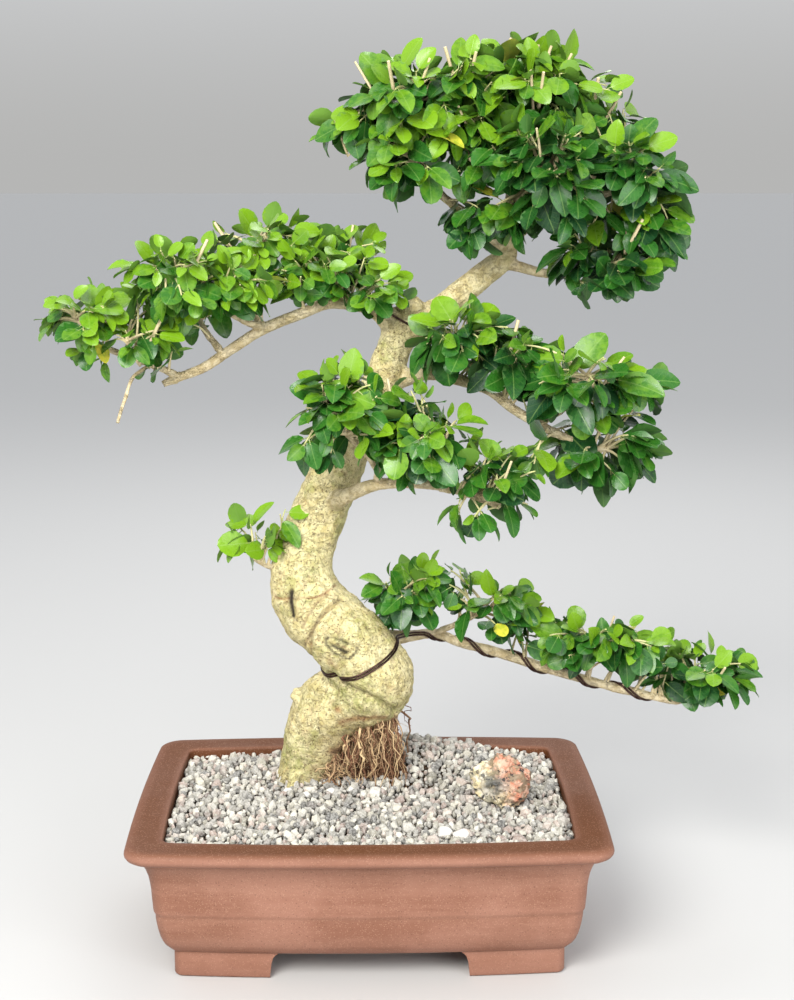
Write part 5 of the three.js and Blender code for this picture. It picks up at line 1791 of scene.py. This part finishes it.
@dataclass
class Crown:
    """Grows twigs and leaves into the pads."""

    wood: Wood
    spacing: float = 7.5
    closest: float = 6.1
    shoots_scale: float = 1.15

    def __post_init__(self) -> None:
        """Gathers the branches that twigs may start from."""
        self.branches = np.vstack(self.wood.skeleton())
        self.twigs: list[Points] = []
        self.youth: list[Points] = []

    @staticmethod
    def start(starts: Points, goal: Points, chance: float, rng: np.random.Generator) -> Points:
        """Place on a branch that is near a twig's goal, give or take a chance distance."""
        away = np.linalg.norm(starts[:, :3] - goal, axis=1) + rng.uniform(0, chance, len(starts))
        return starts[np.argsort(away)[0]][:3]

    def twig(self, start: Points, goal: Points, rng: np.random.Generator) -> Points:
        """A slightly arched twig from start to goal, as points about 3 mm apart."""
        span = np.linalg.norm(goal - start)
        count = max(int(span / TWIG_STEP), 3)
        t = np.linspace(0, 1, count)[:, None]
        lift = np.array([0, 0, 0.16 * span]) + rng.normal(scale=0.06 * span, size=3)
        return start + (goal - start) * t + 4 * lift * t * (1 - t) * 0.5

    def leaf(self, foot: Points, forward: Points, centre: Points, rng: np.random.Generator) -> Points:
        """Turn of a leaf that grows forward and faces up and outwards.

        Args:
            foot: where the leaf's stalk starts.
            forward: the way that it grows.
            centre: middle of its pad.
            rng: source of chance.

        Returns:
            The three angles.
        """
        outward = unit((foot - centre) * np.array([1, 1.3, 0.4]) + np.array([0, -6, 0]))
        face = unit(np.array([0, 0, 0.75]) + 0.85 * outward + rng.normal(scale=0.34, size=3))
        side = unit(np.cross(face, forward))
        up = np.cross(forward, side)
        return np.array(Matrix(np.stack([forward, side, up], 1).tolist()).to_euler("XYZ"))

    def grow(self, pad: Pad) -> dict[str, Points]:
        """Twigs and leaves of one pad.

        Args:
            pad: the space to fill.

        Returns:
            The leaves' places, turns, sizes, kinds and tones.
        """
        rng = np.random.default_rng(pad.seed)
        feet, turns, sizes, kinds, tones, taken = [], [], [], [], [], []
        for _, middle, half, shoots in pad.blobs:
            centre = np.array(middle, float) + np.array([0, 0, GRAVEL_LEVEL])
            half = np.array(half, float)
            inside = np.linalg.norm((self.branches[:, :3] - centre) / half, axis=1)
            starts = self.branches[np.argsort(inside)[: pad.reach]]
            for _ in range(int(shoots * self.shoots_scale)):
                out = unit(rng.normal(size=3) + np.array([0, 0, 0.35]))
                goal = centre + out * half * rng.uniform(0.5, 0.86)
                path = self.twig(self.start(starts, goal, 38, rng), goal, rng)
                thick = np.linspace(1.3, 0.6, len(path)) * rng.uniform(0.8, 1.2)
                self.twigs.append(np.column_stack([path, thick]))
                self.youth.append(np.linspace(0.0, rng.uniform(0.6, 1.0), len(path)))
                self.dress_twig(path, centre, half, pad, rng, (feet, turns, sizes, kinds, tones, taken))
            for _ in range(round(shoots * pad.stubs)):
                self.cut_twig(starts, centre, half, rng)
        names = ("feet", "turn", "size", "kind", "tone")
        return {name: np.array(rows) for name, rows in zip(names, (feet, turns, sizes, kinds, tones))}

    def cut_twig(self, starts: Points, centre: Points, half: Points, rng: np.random.Generator) -> None:
        """A stout bare twig that was cut short above the leaves."""
        out = unit(rng.normal(size=3) * np.array([1, 1, 0.3]) + np.array([0, -0.4, 1.5]))
        goal = centre + out * half * rng.uniform(0.95, 1.15)
        near = self.start(starts, goal, 40, rng)
        lean = 0.9 * (goal - centre) / half * np.array([1, 1, 0]) + np.array([0, 0, 1])
        knee = goal - unit(lean) * rng.uniform(24, 44)
        t = np.linspace(0, 1, 7)[:, None]
        path = np.vstack([near + (knee - near) * t, knee + (goal - knee) * t[1:]])
        self.twigs.append(np.column_stack([path, np.linspace(1.7, 1.15, len(path)) * rng.uniform(0.8, 1.2)]))
        self.youth.append(np.zeros(len(path)))

    def dress_twig(
        self, path: Points, centre: Points, half: Points, pad: Pad, rng: np.random.Generator, lists: tuple
    ) -> None:
        """Puts crossed pairs of leaves along a twig, where there is room."""
        feet, turns, sizes, kinds, tones, taken = lists
        length = TWIG_STEP * len(path)
        roll = rng.uniform(0, math.pi)
        along = length - 0.5
        pair = 0
        while along > BARE_FOOT:
            index = min(int(along / TWIG_STEP), len(path) - 2)
            node, ahead = path[index], unit(path[index + 1] - path[index])
            flat = unit(np.cross(ahead, [0.1, 0.05, 1.0]))
            upright = np.cross(flat, ahead)
            angle = roll + pair * math.pi / 2
            aside = flat * math.cos(angle) + upright * math.sin(angle)
            tip = math.exp(-pair * 0.8)
            for sign in (-1, 1):
                outward = unit((node - centre) / half)
                sag = 0.42 + 0.45 * float(np.clip(np.linalg.norm(outward[:2]) - 0.4, 0, 1)) + rng.normal(scale=0.2)
                forward = ahead * (0.35 + 0.4 * tip) + sign * aside * 0.85 + 0.3 * outward - np.array([0, 0, sag])
                forward = unit(forward + rng.normal(scale=0.16, size=3))
                size = pad.leaf_scale * (1.0 - 0.28 * tip) * rng.uniform(0.62, 1.12)
                heart = node + forward * 17 * size
                share = np.linalg.norm((heart - centre) / half)
                away = np.linalg.norm(np.array(taken) - heart, axis=1) if taken else np.array([math.inf])
                if share > 1.1 or np.min(away) < self.closest * size:
                    continue
                taken.append(heart)
                feet.append(node + forward * 4.2)
                turns.append(self.leaf(node, forward, centre, rng))
                sizes.append(size)
                young = tip > 0.9 and rng.uniform() < 0.3
                kinds.append(YOUNG_KIND if young else int(rng.choice(GROWN_KINDS, p=GROWN_SHARES)))
                height = (heart[2] - centre[2]) / half[2]
                tone = pad.freshness - 0.08 + 0.36 * height + 0.2 * tip + 0.55 * (share - 0.75) + rng.normal(scale=0.14)
                tones.append(1.4 if rng.uniform() < 0.006 else float(np.clip(tone, 0, 1.05)))
            along -= self.spacing * rng.uniform(0.9, 1.3)
            pair += 1

    def build(self, workshop: Workshop, leaf: bpy.types.Material, twig: bpy.types.Material) -> None:
        """Grows every pad."""
        shapes = LeafShapes().build()
        order = {name: i for i, name in enumerate(sorted(o.name for o in shapes.objects))}
        number = np.array([order[f"leaf_{form.name.lower()}"] for form in LeafForm])
        for pad in PADS:
            leaves = self.grow(pad)
            piece = mesh_object(pad.name, leaves["feet"], [])
            data = piece.data.attributes
            data.new("turn", "FLOAT_VECTOR", "POINT").data.foreach_set("vector", leaves["turn"].ravel())
            store(piece, size=leaves["size"], tone=leaves["tone"])
            data.new("kind", "INT", "POINT").data.foreach_set("value", number[leaves["kind"]])
            workshop.run(Tool.SCATTER_ON_POINTS, piece, Shapes=shapes, Material=leaf)
            finish_piece(piece, "leaves", *(blob[0] for blob in pad.blobs if blob[0]))
            log.info("%s: %d leaves", pad.name, len(leaves["size"]))
        put_away(shapes)
        piece = lines_object("twigs", self.twigs, self.youth)
        workshop.run(Tool.LINES_TO_TUBES, piece, Sides=6, Material=twig)
        finish_piece(piece, "bark")


# ---------------------------------------------------------------- studio


@dataclass
class Studio:
    """Pale floor, soft lights and the camera."""

    lens: float = 61.56
    camera_place: tuple[float, float, float] = (-1.7, -1325, 604)
    pitch: float = 10.73
    yaw: float = 1.05

    def floor(self) -> None:
        """Wide pale floor."""
        points = np.array([(-1, -1, 0), (1, -1, 0), (1, 1, 0), (-1, 1, 0)], float) * 60000
        piece = mesh_object("studio_floor", points, [(0, 1, 2, 3)])
        material = bpy.data.materials.new("studio_floor")
        material.use_nodes = True
        shader = material.node_tree.nodes["Principled BSDF"]
        shader.inputs["Base Color"].default_value = (0.50, 0.495, 0.485, 1)
        shader.inputs["Roughness"].default_value = 0.7
        dress(piece, material)

    def light(self, name: str, place: tuple[float, float, float], size: float, power: float, colour: Colour) -> None:
        """One soft area light that looks at the tree."""
        data = bpy.data.lights.new(name, "AREA")
        data.shape, data.size, data.energy, data.color = "DISK", size, power, colour
        lamp = new_object(name, data)
        lamp.location = Vector(in_frame(np.array(place)))
        target = Vector(in_frame(np.array([30, 0, 350])))
        lamp.rotation_euler = (target - lamp.location).to_track_quat("-Z", "Y").to_euler()

    def surroundings(self) -> None:
        """Pale world, dimmer towards the ground, so that the floor fades into it."""
        world = bpy.data.worlds.new("studio")
        bpy.context.scene.world = world
        world.use_nodes = True
        graph = Graph(world.node_tree)
        way = graph.add("ShaderNodeSeparateXYZ", {0: graph.add("ShaderNodeTexCoord").outputs["Generated"]})
        colour = graph.mix(graph.ramp(way.outputs[2], 0.0, 0.30), (0.375, 0.375, 0.37), (0.68, 0.70, 0.73))
        backdrop = world.node_tree.nodes["Background"]
        world.node_tree.links.new(colour, backdrop.inputs["Color"])
        backdrop.inputs["Strength"].default_value = 1.25

    def build(self) -> None:
        """Sets up the studio."""
        self.floor()
        self.light("key", (-750, -1700, 1650), 1.3, 78, (1.0, 0.985, 0.95))
        self.light("fill", (1300, -1800, 700), 1.8, 36, (0.98, 0.985, 1.0))
        self.light("back", (300, 1700, 1900), 1.6, 16, (1.0, 1.0, 1.0))
        self.surroundings()
        data = bpy.data.cameras.new("camera")
        data.lens, data.sensor_width, data.sensor_fit = self.lens, 36, "AUTO"
        data.clip_start, data.clip_end = 0.05, 400
        camera = new_object("camera", data)
        camera.location = Vector(in_frame(np.array(self.camera_place)))
        camera.rotation_euler = Euler((math.radians(90 - self.pitch), 0, math.radians(-self.yaw)))
        bpy.context.scene.camera = camera
        bpy.context.scene.view_settings.view_transform = "Standard"


def main() -> None:
    """Builds everything round the frame."""
    effects, workshop = Effects(), Workshop()
    pot = Pot()
    pot.build(FiredClay().material(effects))
    earth = Earth().material(effects)
    grit = Grit().material(effects)
    bed = GravelBed(pot)
    bed.build(workshop, grit, earth)
    wood = Wood()
    trunk = wood.build(Bark().material(effects))
    clod = Earth("root_clod", (0.045, 0.022, 0.013), (0.17, 0.085, 0.045))
    FibrousRoots().build(workshop, FineRoots().material(effects), clod.material(effects))
    Wires(trunk).build(workshop, TrainingWire().material(effects))
    Stone("weathered_rock", (104, -14, 122), (25, 19, 24), StoneForm.CRAGGY, 5).build(
        WeatheredRock().material(effects), "accent_rock", 6, "accent_rock"
    )
    pale = Grit("pale_pebble", (0.45, 0.43, 0.40), (0.62, 0.60, 0.56), (0.80, 0.78, 0.74)).material(effects)
    for i in range(1, 9):
        low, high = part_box(f"loose_pebble_{i}")
        middle = (np.array((low + high) / 2) - POT_MIDDLE) / MM
        size = np.array(high - low) / 2 / MM
        stone = Stone(f"pebble_{i}", tuple(middle), tuple(size), StoneForm.TUMBLED, 20 + i)
        stone.build(pale, "pale_pebble", 4, f"loose_pebble_{i}")
    Crown(wood).build(workshop, Foliage().material(effects), Shoots().material(effects))
    dress(frame["nodes"]["soil"], earth)
    for side in ("left", "right"):
        dress(frame["nodes"][f"drain_screen_{side}"], MeshPlastic().material(effects))
        bare = TrainingWire("bare_wire", (0.55, 0.55, 0.53), 1.0, 0.35)
        dress(frame["nodes"][f"drain_screen_staple_{side}"], bare.material(effects))
    Studio().build()


if __name__ == "__main__":
    main()
